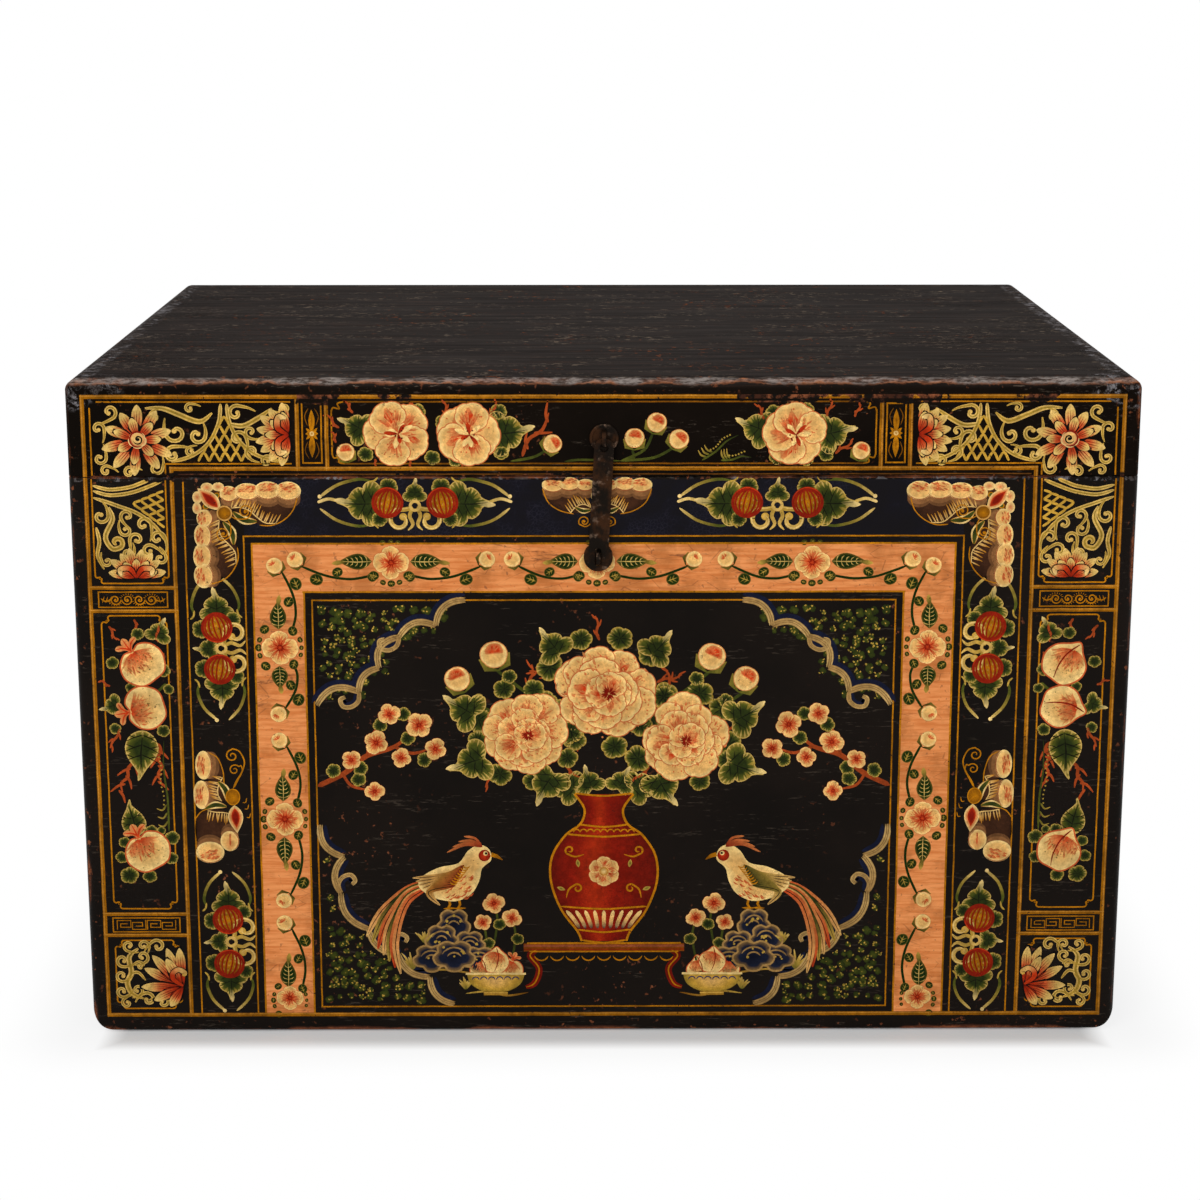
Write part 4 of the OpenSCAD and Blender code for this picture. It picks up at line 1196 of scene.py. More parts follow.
def pointed_leaf(art, tall, wide):
    """A long dark leaf of the vine with yellow ribs and a curved tip; its stalk is at the origin."""
    art.fill(drop(tall * 0.86, wide, 0.42),
        core(T.vine, blend(T.vine, T.leaf_rim, 0.2), 0.75), (0, tall * 0.34), coat=0.2)
    brush_petal(art.at(0, tall * 0.66, coat=0.3), tall * 0.38, wide * 0.3, T.vine, T.leaf_rim, tall * 0.05)
    vein = blend(T.leaf_rim, T.pale, 0.3)
    art.stroke([(0, tall * 0.02), (tall * 0.012, tall * 0.4), (0, tall * 0.76)],
        tall * 0.03, vein, coat=0.4)
    for k in range(5):
        z = tall * (0.12 + 0.12 * k)
        reach = wide * (0.38 - 0.045 * k)
        for s in (-1, 1):
            art.stroke([(0, z), (s * reach * 0.7, z + tall * 0.03), (s * reach, z + tall * 0.08)],
                tall * 0.024, vein, ends=(0.1, 0.6), coat=0.4)


def vine_run(art, reach):
    """From a band flower at the origin along +Z: a leaf, and a stem on the +X side that ends in a bud."""
    pointed_leaf(art.at(-1, 16.5), reach * 0.4, 14.5)
    stem = smooth([(11, 15), (14.5, reach * 0.42), (12, reach * 0.66), (3.5, reach - 6)])
    art.stroke(stem, 2.3, T.vine, ends=(0.1, 0.1), thin=0.6, coat=0.1)
    leaflet(art.at(11.5, 15, 20), 4.6)
    leaflet(art.at(8.5, reach * 0.56, -30), 4.8)
    leaflet(art.at(15, reach * 0.78, 20), 5.8)
    bud(art.at(-3, reach, 34, coat=0.6), 7.2, calyx=T.vine)


def flower_leaflets(art):
    """The ring of small leaves round a band flower."""
    for a, far, r in ((128, 21, 4.4), (232, 21, 4.4), (158, 19, 2.6), (180, 18.6, 3.4), (202, 19, 2.6),
            (22, 19, 2.6), (0, 18.6, 2.2), (-20, 19, 2.2)):
        b = radians(a)
        leaflet(art.at(far * cos(b), far * sin(b), a), r)


def bracket_frame(art, x0, z0, x1, z1, notch, topped=True):
    """A thin frame whose corners step in through two small curls; it may be open at the top."""
    width = 1.3
    for x, z, sx, sz in ((x0, z0, 1, 1), (x1, z0, -1, 1), (x1, z1, -1, -1), (x0, z1, 1, -1)):
        if not topped and sz < 0:
            continue
        half = [(0, 1.45), (0.06, 1.15), (0.34, 0.96), (0.72, 1.06), (0.8, 0.9), (0.72, 0.72)]
        path = half + [(v, u) for u, v in reversed(half[:-1])]
        art.stroke(smooth([(x + sx * u * notch, z + sz * v * notch) for u, v in path], steps=4), width,
            T.gold, ends=(0.02, 0.02), thin=0.5)
    far = notch * 1.45
    top = z1 - far if topped else z1
    runs = [((x0, z0 + far), (x0, top)), ((x1, z0 + far), (x1, top)), ((x0 + far, z0), (x1 - far, z0))]
    if topped:
        runs.append(((x0 + far, z1), (x1 - far, z1)))
    for run in runs:
        art.gold(width, *run)


STRIP_LEFT, STRIP_RIGHT = -437.5, -378


def framed_strip(art, low, high):
    """The frame of a narrow strip over or under a fruit panel."""
    art.gold(1.1, *[(STRIP_LEFT, low), (STRIP_RIGHT, low), (STRIP_RIGHT, high),
        (STRIP_LEFT, high), (STRIP_LEFT, low)])


def gold_strips(art):
    """A strip of running spirals over the fruit panel, and one of square key frets under it."""
    scroll_strip(art, 395, 408.6)
    fret_strip(art, 95.6, 108.8)


def scroll_strip(art, low, high):
    """A narrow framed strip of running gold spirals."""
    framed_strip(art, low, high)
    middle, r = (low + high) / 2, (high - low) * 0.36
    for k in range(4):
        x = STRIP_LEFT + (STRIP_RIGHT - STRIP_LEFT) * (0.24 + 0.175 * k)
        way = 1 if k % 2 else -1
        art.stroke(curl(x, middle, r, 180 if way > 0 else 0, 1.5 * way), 1.1,
            T.gold, ends=(0.1, 0.2), thin=0.5)
        art.dot(x, middle, 0.9, T.gold)
        for i in range(8):
            a = radians((20 if way > 0 else 200) + 20 * i)
            near = (x + (r + 0.2) * cos(a), middle + (r + 0.2) * 0.8 * sin(a))
            far = (x + (r + 2.2) * cos(a), middle + (r + 1.6) * 0.9 * sin(a))
            art.stroke([near, far], 0.6, T.gold, ends=(0.1, 0.5))
    for s, x in ((1, STRIP_LEFT), (-1, STRIP_RIGHT)):
        art.flow([(x + s * 2, middle + 1), (x + s * 6, middle - 1.5),
            (x + s * 12, middle + 1)], 1.2, T.gold)
        for k in range(3):
            art.stroke([(x + s * (3 + 3 * k), middle - 3), (x + s * (5 + 3 * k), middle + 3)], 0.7, T.gold)


def fret_strip(art, low, high):
    """A narrow framed strip of square key frets."""
    framed_strip(art, low, high)
    count, margin, inset = 4, 2.4, 3
    span = (STRIP_RIGHT - STRIP_LEFT - 2 * inset) / count
    w, h = span / 2 - 0.7, (high - low) / 2 - margin
    third = h / 2
    for k in range(count):
        x = STRIP_LEFT + inset + span * (k + 0.5)
        key = art.at(x, (low + high) / 2, 180 if k % 2 else 0)
        left, right, foot, top = -w + third * 1.4, w - third * 1.6, -h + third * 0.9, h - third * 1.5
        key.gold(0.8, (-w, -h), (-w, h), (w, h), (w, foot), (left, foot), (left, top), (right, top))


def fruit_skin(art, body, r, tilt):
    """Cream skin with a mottled red blush brushed over its upper half, and small dark spots."""
    hand, vary = art.hand, art.vary
    soft = blend(T.cream, T.wash, 0.42)
    art.fill(body, [(0, blend(T.cream, T.wash, 0.25)), (0.5, T.cream), (1, T.pale)], (0, r * 0.3), coat=0.4)
    art.outline(body, r * 0.07, blend(T.wash, T.cream, 0.15), coat=0.6)
    blush = art.at(0, 0, tilt, coat=0.7)
    blush.at(-r * 0.12, r * 0.3).fill(lobed(r * 0.7, r * 0.44, 5, 0.1, 20, 8), core(soft, T.cream, 0.6))
    streaks(blush.at(0, r * 0.74, coat=0.2), 26, r * 0.1, r * 1.05, r * 0.11, T.wash, 195, 140, tip=soft)
    for _ in range(34):
        a, far = vary(0, 6.28), vary(0, 1) ** 0.5
        x, z = r * (-0.12 + 0.66 * far * cos(a)), r * (0.28 + 0.42 * far * sin(a))
        long, lean = r * vary(0.14, 0.32), vary(-0.5, 0.5)
        blush.stroke([(x, z), (x + lean * long * 0.6, z - long * 0.5), (x + lean * long, z - long)],
            r * vary(0.05, 0.11), hand.choice((T.wash, T.wash, blend(T.wash, T.red, 0.5), T.red)),
            soft, ends=(0.4, 0.6), coat=0.8)
    for _ in range(24):
        a, far = vary(0, 6.28), r * vary(0.1, 0.8)
        art.dot(far * cos(a), far * sin(a) - r * 0.05, r * vary(0.012, 0.03), T.leaf_mid, coat=2)


def wing_lobe(art, rx, rz, outward):
    """One cream lobe of a wing, washed with red towards its outer side."""
    vary = art.vary
    along = rx > rz
    soft = blend(T.cream, T.wash, 0.3)
    art.fill(lobed(rx * 1.06, rz * 1.04, 2, 0.02, 0, 12), core(T.cream, T.pale, 0.7))
    patch = art.at(outward[0] * rx * 0.28, outward[1] * rz * 0.28, coat=0.2)
    patch.fill(lobed(rx * (0.78 if along else 0.55), rz * (0.55 if along else 0.78), 4, 0.1, 30, 6),
        core(soft, T.cream, 0.5))
    foot = [(u * rx, v * rz) for u, v in arc(0, 0, 0.99, *((200, 340) if along else (-70, 70)), 8)]
    art.stroke(foot, 0.7, blend(T.tan, T.wash, 0.4), coat=0.3)
    for k in range(20):
        u, v = vary(-0.8, 0.45), vary(-0.15, 0.8)
        a, b = (u * rx, outward[1] * v * rz) if along else (outward[0] * v * rx, u * rz)
        da, db = (rx * 0.32, rz * 0.1) if along else (rx * 0.1, rz * 0.32)
        art.stroke([(a, b), (a + da * 0.6, b + db * 0.8), (a + da, b + db)], min(rx, rz) * vary(0.1, 0.26),
            T.wash if k % 3 else T.red, blend(T.cream, T.wash, 0.5), ends=(0.4, 0.6), coat=0.5)


# Panels

LEFT_RIGHT = (False, True)


def scatter(art, draw, *spots, **place):
    """Draws a motif at each spot: x, z, its turn in degrees and the motif's own sizes."""
    for x, z, turn, *sizes in spots:
        draw(art.at(x, z, turn, **place), *sizes)


def scatter_leaves(art, sway, *spots, coat=0):
    """Peeping leaves, each turned by chance: x, z and radius."""
    for x, z, r in spots:
        peeping_leaf(art.at(x, z, art.vary(-sway, sway), coat=coat), r)


def mirror_pair(art):
    """The left side as drawn, then its mirror image."""
    return [art.at(0, 0, flip=flip) for flip in LEFT_RIGHT]


CORNER_OUT, CORNER_IN = 439.5, 376


def case_lines():
    """Gold lines that divide the front of the case."""
    art = Painting("case_gold_lines", "case", 3)
    rim, low, fine, strip_x = SEAM - SEAM_GAP, L.foot_z + 2, L.thin * 1.2, 310.5
    band_top, inner_top = L.band_z + 0.6, L.band_inner_z - 0.6
    for side in mirror_pair(art):
        side.gold(L.thick, (-L.outer_x, L.foot_z), (-L.outer_x, rim))
        side.gold(L.thick, (-L.column_x, L.foot_z), (-L.column_x, rim))
        side.gold(L.thin, (-L.field_x, low), (-L.field_x, rim))
        side.gold(L.thin, (-strip_x, low), (-strip_x, L.strip_z))
        side.gold(fine, (-L.band_x - 0.6, low), (-L.band_x - 0.6, band_top))
        side.gold(fine, (-L.band_inner_x + 0.6, low), (-L.band_inner_x + 0.6, inner_top))
        side.gold(L.thin, (-L.picture_x, L.picture_low_z), (-L.picture_x, L.picture_z))
        for z in (412.3, 391.6, 112.4, 92.4):
            side.gold(L.thick * 0.92, (-L.outer_x, z), (-L.column_x, z))
        for x in (CORNER_OUT, CORNER_IN):
            side.gold(L.thin, (-x, rim), (-x, 424))
    art.gold(L.thick, (-L.outer_x, L.foot_z), (L.outer_x, L.foot_z))
    art.gold(L.thin, (-strip_x, L.strip_z), (strip_x, L.strip_z))
    art.gold(fine, (-L.band_x, band_top), (L.band_x, band_top))
    art.gold(fine, (-L.band_inner_x, inner_top), (L.band_inner_x, inner_top))
    for z in (L.picture_z, L.picture_low_z):
        art.gold(L.thin, (-L.picture_x, z), (L.picture_x, z))
    return art


def lid_lines():
    """Gold lines that divide the front of the lid."""
    art = Painting("lid_gold_lines", "lid", 4)
    rim, foot, top = SEAM + SEAM_GAP, 517.5, 580
    low, high = 521.8, 575.6
    for side in mirror_pair(art):
        side.gold(L.thick, (-L.outer_x, rim), (-L.outer_x, top))
        side.gold(L.thin, (-L.outer_x + 6, rim), (-L.outer_x + 6, 570))
        side.gold(L.thick, (-L.column_x, rim), (-L.column_x, foot))
        side.gold(L.thin, (-L.column_x - 5, rim), (-L.column_x - 5, 521.5))
        for x in (262, 237):
            side.gold(L.thick, (-x, foot), (-x, 576))
        side.gold(L.thin, (-257.6, 522.5), (-257.6, 574), (-241.4, 574), (-241.4, 522.5), (-257.6, 522.5))
        side.gold(L.thin, (-375, low), (-268, low))
        side.gold(L.thin, (-432, high), (-268, high))
    art.gold(L.thick, (-L.column_x, foot), (L.column_x, foot))
    art.gold(L.thick, (-L.outer_x, top), (L.outer_x, top))
    for z in (low, high):
        art.line((-222, z), (222, z), width=L.thin, colour=T.ochre)
    art.line((-366, 512.6), (366, 512.6), width=L.thin * 0.8, colour=blend(T.ochre, T.brown, 0.5))
    for side in mirror_pair(art):
        side.gold(L.thin, (-232.5, 530), (-232.5, 568))
        for z, s in ((low, 1), (high, -1)):
            path = [(-222, z), (-227, z + s * 1.5), (-225.5, z + s * 6),
                (-231, z + s * 5), (-232.5, z + s * 9)]
            side.flow(path, L.thin, T.gold, ends=(0.1, 0.1), thin=0.6)
    return art


def scale_net(art, corners, rows, width):
    """Fish-scale lattice in a triangle that widens from its first corner."""
    (x0, z0), (x1, z1), (x2, z2) = corners
    for row in range(1, rows + 1):
        t = row / rows
        ax, az = x0 + (x1 - x0) * t, z0 + (z1 - z0) * t
        bx, bz = x0 + (x2 - x0) * t, z0 + (z2 - z0) * t
        for k in range(row):
            p, q = k / row, (k + 1) / row
            (a, b), (c, d) = [(ax + (bx - ax) * v, az + (bz - az) * v) for v in (p, q)]
            lift = 0.95 / rows
            middle = ((a + c) / 2 - ((x1 + x2) / 2 - x0) * lift, (b + d) / 2 - ((z1 + z2) / 2 - z0) * lift)
            art.stroke(smooth([(a, b), middle, (c, d)], steps=4), width,
                T.scroll, ends=(0.05, 0.05), thin=0.7)


def corner_scrolls(art):
    """Scrollwork, a lattice and half a lotus in the panel under the lid's corner; x from -439 to -376."""
    for points in (((-438.5, 498.2), (-424, 494.4), (-406, 496.5), (-390.5, 502), (-378, 507.5)),
            ((-438.5, 502.8), (-424, 499.4), (-407, 501.4), (-396, 505.5), (-390, 508)),
            ((-438.5, 492.2), (-420.7, 486.2), (-401, 478.4), (-386, 466.6), (-377.4, 453.6))):
        scroll_stroke(art, smooth(points), 3.3, (0.15, 0.15))
    scale_net(art, ((-404, 487), (-378, 498), (-378, 466)), 4, 2.2)
    scroll_stroke(art, smooth([(-425.3, 484), (-422.4, 473.5), (-429.2, 458.2), (-424, 447.4),
        (-416.5, 448.2)]) + curl(-419.5, 452.6, 5, -30, 0.8, 0.3), 4.4, (0.2, 0.2))
    scroll_stroke(art,
        smooth([(-437, 466), (-434.6, 453.6), (-436.6, 441), (-431.5, 429)]), 3.4, (0.2, 0.5))
    case_volutes(art, (-432.6, 475.8, 5.8, 176, 2.2, 0, 1), (-410, 476, 5, 20, 2, 0.2, 1),
        (-396, 468.6, 5.8, 14, 2.4, 0.2, 0), (-384.6, 456.4, 5.6, 24, 2.4, 0.1, 0),
        (-411.5, 463.6, 4.8, 200, 2, 0.2, 0), (-402.6, 455.4, 5.2, -8, 2.3, 0.3, 1), (-392.4, 445.2,
        5, 70, 2.2, 0.2, 0), (-410.6, 443.4, 4.6, 160, 2, 0.2, 1), (-382.8, 438.6, 4.6, 190, 2, 0.2, 1),
        (-428.5, 436, 3.8, 205, 2.2, 0.2, 0), (-398.6, 440, 3.6, -10, 2, 0.3, 1))
    half_lotus(art.at(-404, 421.5, coat=0.9), 26)
    bracket_frame(art, -439.5, 416.3, -376, 500, 5.2, topped=False)


def lower_corner_scrolls(art):
    """Scrolls and a lotus that opens to the left, lowest panel; x from -439 to -376, z from 20 to 89."""
    scroll_stroke(art, smooth([(-416, 79.8), (-424.6, 71.6), (-423.1, 57.3), (-427, 47),
        (-423.1, 36.8), (-412.9, 31.7)]), 5)
    scroll_stroke(art, smooth([(-425, 55), (-417, 57), (-410.6, 49.4)]), 3, (0.1, 0.5))
    case_volutes(art, (-424.4, 82.4, 4.4, 60, 2.2, 0.2, 1), (-411.4, 82.6, 4.2, 20, 1.8, 0.2, 0),
        (-398.6, 82, 5.4, -60, 2.2, 0.2, 1), (-430.4, 68.4, 5.2, 80, 1.8, 0.2, 1),
        (-412.4, 71.8, 4.8, -50, 2, 0.2, 0), (-415.2, 63.4, 3.6, -70, 2, 0.2, 1),
        (-431.8, 53.6, 4.8, 95, 1.8, 0.1, 1), (-431.8, 38.6, 5, 110, 1.9, 0.2, 1),
        (-418.2, 40, 4.4, -40, 1.8, 0.2, 0), (-409.2, 31, 5.8, -70, 1.8, 0.2, 1),
        (-395.6, 28.2, 4.8, -95, 2.4, 0.2, 1), (-428, 27.6, 4, 140, 2, 0.2, 0))
    flower = art.at(-377.5, 43, coat=0.9)
    for k, (turn, tall) in enumerate(((62, 38), (41, 40), (20, 39),
            (3, 37), (90, 37), (116, 29), (148, 22))):
        lotus_petal(flower.at(0, 0, turn, coat=0.2 * k), tall, 8.6, k == 2)
    lotus_petal(flower.at(-1, 1, 26, coat=0.9), 29, 9, True)
    hook = smooth([(0, 1), (-8, 7), (-8.5, 13), (-3.5, 16.5), (2, 13.5), (0.5, 10.5)])
    flower.stroke(hook, 6, T.ground, ends=(0.3, 0.2), coat=1.4)
    flower.stroke(hook, 4.4, (T.wash, T.wash, T.cream, T.scroll), ends=(0.3, 0.2), thin=0.4, coat=1.5)
    bracket_frame(art, -436.5, 22.4, -378.5, 87.6, 6)


def fruit_panel(art, fruit):
    """A tall panel of one kind of fruit; drawn for x from -439 to -376."""
    bracket_frame(art, -436, 117.5, -379.5, 387.5, 6)
    scatter(art, twig, (-430, 378, 205, 14), (-408, 384, 190, 13), (-387, 379, 165, 14),
        (-431, 324, 60, 10), (-383, 354, 150, 11))
    scatter(art, vine_leaf, (-389, 366, -20, 21), (-423, 308, 110, 19))
    scatter_leaves(art, 40, (-405, 371, 6), (-428, 345, 6), (-384, 338, 6.5), (-380, 321, 5),
        (-428, 285, 5.5), (-386, 283, 6), (-413, 322, 5), coat=0.1)
    art.flow([(-382, 326), (-392, 318), (-398, 322)], 2.4, T.leaf_mid, T.leaf, ends=(0.1, 0.5))
    fruit(art.at(-402, 343.5, 38, coat=1), 19.5)
    fruit(art.at(-401, 304, 105, coat=0.6), 19)
    hanging_leaf(art.at(-404, 283, 176, coat=0.2), 46)
    scatter(art, twig, (-413, 262, 160, 37, 5), (-391, 272, 178, 36, 5), (-424, 285, 150, 20))
    sprig(art.at(-384.5, 190, 3), 84, 13)
    hanging_leaf(art.at(-413, 186, 12, coat=0.2), 34)
    scatter_leaves(art, 40, (-424, 180, 5.5), (-427, 166, 6), (-383, 165, 6), (-400, 191, 5.5),
        (-382, 184, 7), (-421, 149, 8.5), (-403, 148, 6.5), (-391, 191, 4), coat=0.1)
    fruit(art.at(-404, 171.5, 30, coat=1), 19.5)


def side_column(art):
    """The column between the corner panels and the band: melons, a butterfly, melons."""
    upper = art.at(-335.5, 357.8, 92)
    melon_group(upper, 18.9, tail=False, reach=27, span=46, ribs=90)
    side_butterfly(art.at(-327, 222))
    melon_group(art.at(-335, 86, 90), 21, tail=False, reach=27, span=45, ribs=90)


def band(layout):
    """The salmon band as one strip round three sides of the picture."""
    out, inside = layout.band_x, layout.band_inner_x
    top, under, foot = layout.band_z, layout.band_inner_z, layout.foot_z + 0.0018
    rows, steps = [], 8
    y = FRONT_Y - layout.paint_lift * 0.8
    corners = [((-out, foot), (-inside, foot)), ((-out, top), (-inside, under)),
        ((out, top), (inside, under)), ((out, foot), (inside, foot))]
    for (a, b), (c, d) in zip(corners, corners[1:]):
        for i in range(steps + 1):
            t = i / steps
            rows.append([(a[0] + (c[0] - a[0]) * t, y, a[1] + (c[1] - a[1]) * t),
                (b[0] + (d[0] - b[0]) * t, y, b[1] + (d[1] - b[1]) * t)])
    points = [p for row in rows for p in row]
    faces = []
    for i in range(len(rows) - 1):
        quad = (2 * i, 2 * i + 1, 2 * i + 3, 2 * i + 2)
        if len({points[k] for k in quad}) == 4:
            faces.append(quad)
    mesh = bpy.data.meshes.new("salmon_band")
    mesh.from_pydata(points, [], faces)
    return mesh


def plain_strip(name, x0, z0, x1, z1, lift):
    """A flat strip of ground colour on the front."""
    cuts = 24
    y = FRONT_Y - lift
    points = []
    for i in range(cuts + 1):
        x = x0 + (x1 - x0) * i / cuts
        points += [(x * MM, y, z0 * MM), (x * MM, y, z1 * MM)]
    faces = [(2 * i, 2 * i + 2, 2 * i + 3, 2 * i + 1) for i in range(cuts)]
    mesh = bpy.data.meshes.new(name)
    mesh.from_pydata(points, [], faces)
    return mesh


def band_vine(side):
    """Flowers, leaves and buds on the salmon band's left run."""
    for z, up, down in ((358.4, 73.6, 60.5), (201.3, 73, 76.5)):
        here = side.at(-281.8, z)
        flower_leaflets(here)
        band_flower(here.at(0, 0, coat=0.8), 16)
        vine_run(here, up)
        vine_run(here.at(0, 0, 180, flip=True), down)
    low = side.at(-281.8, 26)
    band_flower(low.at(0, 6, coat=0.8), 12)
    flower_leaflets(low.at(0, 4, size=0.8))
    vine_run(low, 78)


def band_top_vine(art):
    """Flowers, leaves and buds on the salmon band's top run."""
    for x, left, right in ((-184, 83, 83), (-6, 73.5, 84), (180, 75, 87)):
        here = art.at(x, 434.5)
        flower_leaflets(here.at(0, 0, 90))
        band_flower(here.at(0, 0, coat=0.8), 15.5)
        vine_run(here.at(0, 0, -90), right)
        vine_run(here.at(0, 0, 90, flip=True), left)


def profile_butterfly(art):
    """A small butterfly that shows on both sides of the hasp."""
    for side in mirror_pair(art):
        wing(side, [(4, 2), (12, 0), (24, 1), (36, 6), (45, 16), (44, 22), (28, 22), (12, 20)],
            [(10, 25, 7.5, 5), (24, 26, 9, 5.6), (38, 25, 9, 6)], (0, -1),
            [(47, 22), (42, 10), (32, 2.5), (20, -0.5)], [(5, 5), (12, 8), (19, 5), (23, 0)], (0.5, 0.86))
        wing_spot(side.at(5, 3, -80), 14)
    butterfly_body(art.at(0, 6), 5, 20)


def lid_corner(art):
    """Lotus flowers and scrolls in the lid's corner panel; x from -438 to -266, z from 513 to 574."""
    for side in mirror_pair(art.at(-324, 0)):
        scroll_stroke(side,
            smooth([(2.6, 574), (4.6, 558), (13, 541), (28, 529), (46, 523.5)]), 3.3, (0.1, 0.15))
    scale_net(art, ((-324, 563), (-347, 524), (-301, 524)), 5, 2.2)
    scroll_stroke(art,
        smooth([(-391, 570), (-376, 570), (-362, 564.5), (-345, 558.5), (-334, 566)]), 4.6, (0.4, 0.3))
    scroll_stroke(art, smooth([(-320, 556.5), (-308, 555), (-295, 561.5), (-283, 570)]), 4.2, (0.2, 0.4))
    case_volutes(art, (-421.4, 567, 5.4, -52, 2.6, 0.2, 0), (-431.6, 552.6, 4.8, 8, 2.4, 0.3, 0),
        (-431, 526.6, 4.8, 172, 2.4, 0.3, 1), (-426.4, 515.6, 4, 80, 2.4, 0.2, 0),
        (-406.6, 514.4, 4, 95, 2.6, 0.2, 0), (-383.4, 518, 4.8, 155, 2.2, 0.2, 1), (-365.4, 549, 7.6,
        205, 1.8, 0.3, 0), (-347.4, 546.6, 6.2, 160, 1.8, 0.2, 1), (-368.6, 529.8, 6.2, 100, 2.6, 0.2, 0),
        (-353.4, 532.2, 3.6, 130, 2, 0.2, 0), (-353, 570, 3.6, 95, 2.4, 0.2, 0),
        (-313.8, 566, 5.8, 88, 2.6, 0.3, 0), (-312.6, 543.8, 6, 24, 2.2, 0.2, 0), (-301.8,
        549.6, 4.6, 60, 2, 0.2, 1), (-301, 532.4, 5, 40, 2, 0.2, 1), (-288.6, 523.8, 4.4, 80, 2.4, 0.2, 0),
        (-272.6, 570.4, 3.4, -80, 2.6, 0.2, 0), (-383, 563, 3.8, 140, 1.8, 0.2, 0))
    lotus(art.at(-398.5, 542.5, coat=0.9), 30)
    half_lotus(art.at(-269.5, 547, 90, coat=0.9), 29)


def small_lid_panel(art):
    """A gold four-petalled flower in the narrow panel; x from -257 to -241."""
    here = art.at(-249.5, 548)
    for a, tall, wide in ((0, 21, 5.4), (180, 21, 5.4), (90, 5.5, 3.2), (270, 5.5, 3.2)):
        here.at(0, 0, a).fill(drop(tall, wide, 0.5), [(0, T.ochre), (0.5, T.gold), (1, T.gold)], coat=0.2)
    for a in (45, 135, 225, 315):
        here.at(0, 0, a).fill(drop(7, 2.4, 0.5), T.gold, coat=0.2)
    here.dot(0, 0, 2, T.pale, T.gold, coat=0.6)
    for s in (-1, 1):
        for z in (-1, 1):
            here.flow([(s * 2.5, z * 22), (s * 5.8, z * 15), (s * 3.6, z * 7)], 0.8, T.ochre, coat=0.1)


def lid_centre(art):
    """Peonies, leaves, twigs and buds in the lid's middle panel."""
    scatter(art, twig, (-214, 566, 25, 12), (-161, 560, 5, 15), (-134, 562, 4, 14), (-97, 562, -25, 15),
        (-226, 553, 40, 16), (-119, 528, 160, 10), (-70, 528, -38, 44), (-229, 540, 10, 10),
        (-196, 526, 178, 6), (-166, 524, 178, 5))
    scatter(art, vine_leaf, (-203, 549, 60, 27), (-95, 547, -82, 36))
    scatter_leaves(art, 30, (-160, 567, 8), (-137, 558, 7.5), (-115, 568, 7.5),
        (-90, 567, 7.5), (-204, 530, 7), (-147, 527, 7), (-181, 526, 5.5), (-127, 525, 6.5),
        (-111, 525, 5), (-88, 531, 6.5), (-174, 525, 5))
    scatter(art, peony, (-177, 548.5, 0, 29, 20), (-116, 547.5, 0, 28, 50), coat=1)
    bud(art.at(-221, 532, 12, coat=0.5), 7.6)
    art.flow([(-80, 524), (-62, 527), (-50, 533)], 2.4, T.leaf_mid, T.leaf, ends=(0.3, 0.2))
    bud(art.at(-44, 539, -50, coat=0.5), 8)
    for x, z in ((24, 534), (42, 549), (60, 536)):
        art.flow([(14, 524), (13 + x / 2, 259 + z / 2), (x, z)], 2.4, T.leaf_mid, T.leaf, ends=(0.3, 0.2))
    art.flow([(-34, 523.5), (-20, 525), (14, 524)], 2, T.leaf, T.leaf_mid)
    scatter(art, bud, (26, 544, 0, 8.4), (45, 557.5, -20, 8.4), (64, 543, -35, 8.4), coat=0.5)
    scatter(art, sprig, (84, 524.5, -50, 38, 9), (100, 524.5, -78, 26, 6))
    scatter(art, vine_leaf, (140, 549, 70, 30), (185, 546, -75, 32))
    scatter_leaves(art, 30, (145, 566, 7.5), (172, 568, 7.5), (148, 527, 7),
        (173, 525, 6.5), (190, 530, 7), (160, 572, 5))
    scatter(art, twig, (190, 562, -20, 15), (137, 560, 20, 14), (198, 530, -60, 18))
    peony(art.at(163, 547.5, coat=1), 28, 0)
    bud(art.at(220, 533, -15, coat=0.5), 7.6)
    twig(art.at(214, 562, -30), 12)


def case_volutes(art, *spots):
    """Scrolls that fill a panel: x, z, radius, turn, tail, bend, and 1 where mirrored."""
    for k, (x, z, r, turn, tail, bend, flip) in enumerate(spots):
        volute(art.at(x, z, turn, flip=flip, coat=0.01 * k), r * 1.12, tail, bend, min(3.5, 1.3 + r * 0.33))


# Picture

def beside(path, off):
    """The same path moved sideways."""
    moved = []
    for i, (x, z) in enumerate(path):
        (x0, z0), (x1, z1) = path[max(i - 1, 0)], path[min(i + 1, len(path) - 1)]
        size = hypot(x1 - x0, z1 - z0) or 1
        moved.append((x - (z1 - z0) / size * off, z + (x1 - x0) / size * off))
    return moved


def ribbon(art, line, width=6):
    """One lobe of a border: cream-grey brush lines with a blue-black line on their right side."""
    grey = blend(T.cream, T.ground, 0.5)
    art.stroke(beside(line, -width * 0.8), width * 0.8, linear("171b30"), ends=(0.15, 0.15))
    art.stroke(line, width, blend(grey, T.ground, 0.3), ends=(0.12, 0.15), thin=0.3, coat=0.1)
    for off, share in ((-0.34, 0.22), (-0.02, 0.12), (0.32, 0.26)):
        art.stroke(beside(line, width * off), width * share, grey,
            blend(grey, T.pale, 0.35), ends=(0.1, 0.2), coat=0.3)


def inside(outline, x, z):
    """Whether a point lies inside a closed outline."""
    hit = False
    for (x0, z0), (x1, z1) in zip(outline, outline[1:] + outline[:1]):
        if (z0 > z) != (z1 > z) and x < x0 + (x1 - x0) * (z - z0) / (z1 - z0):
            hit = not hit
    return hit


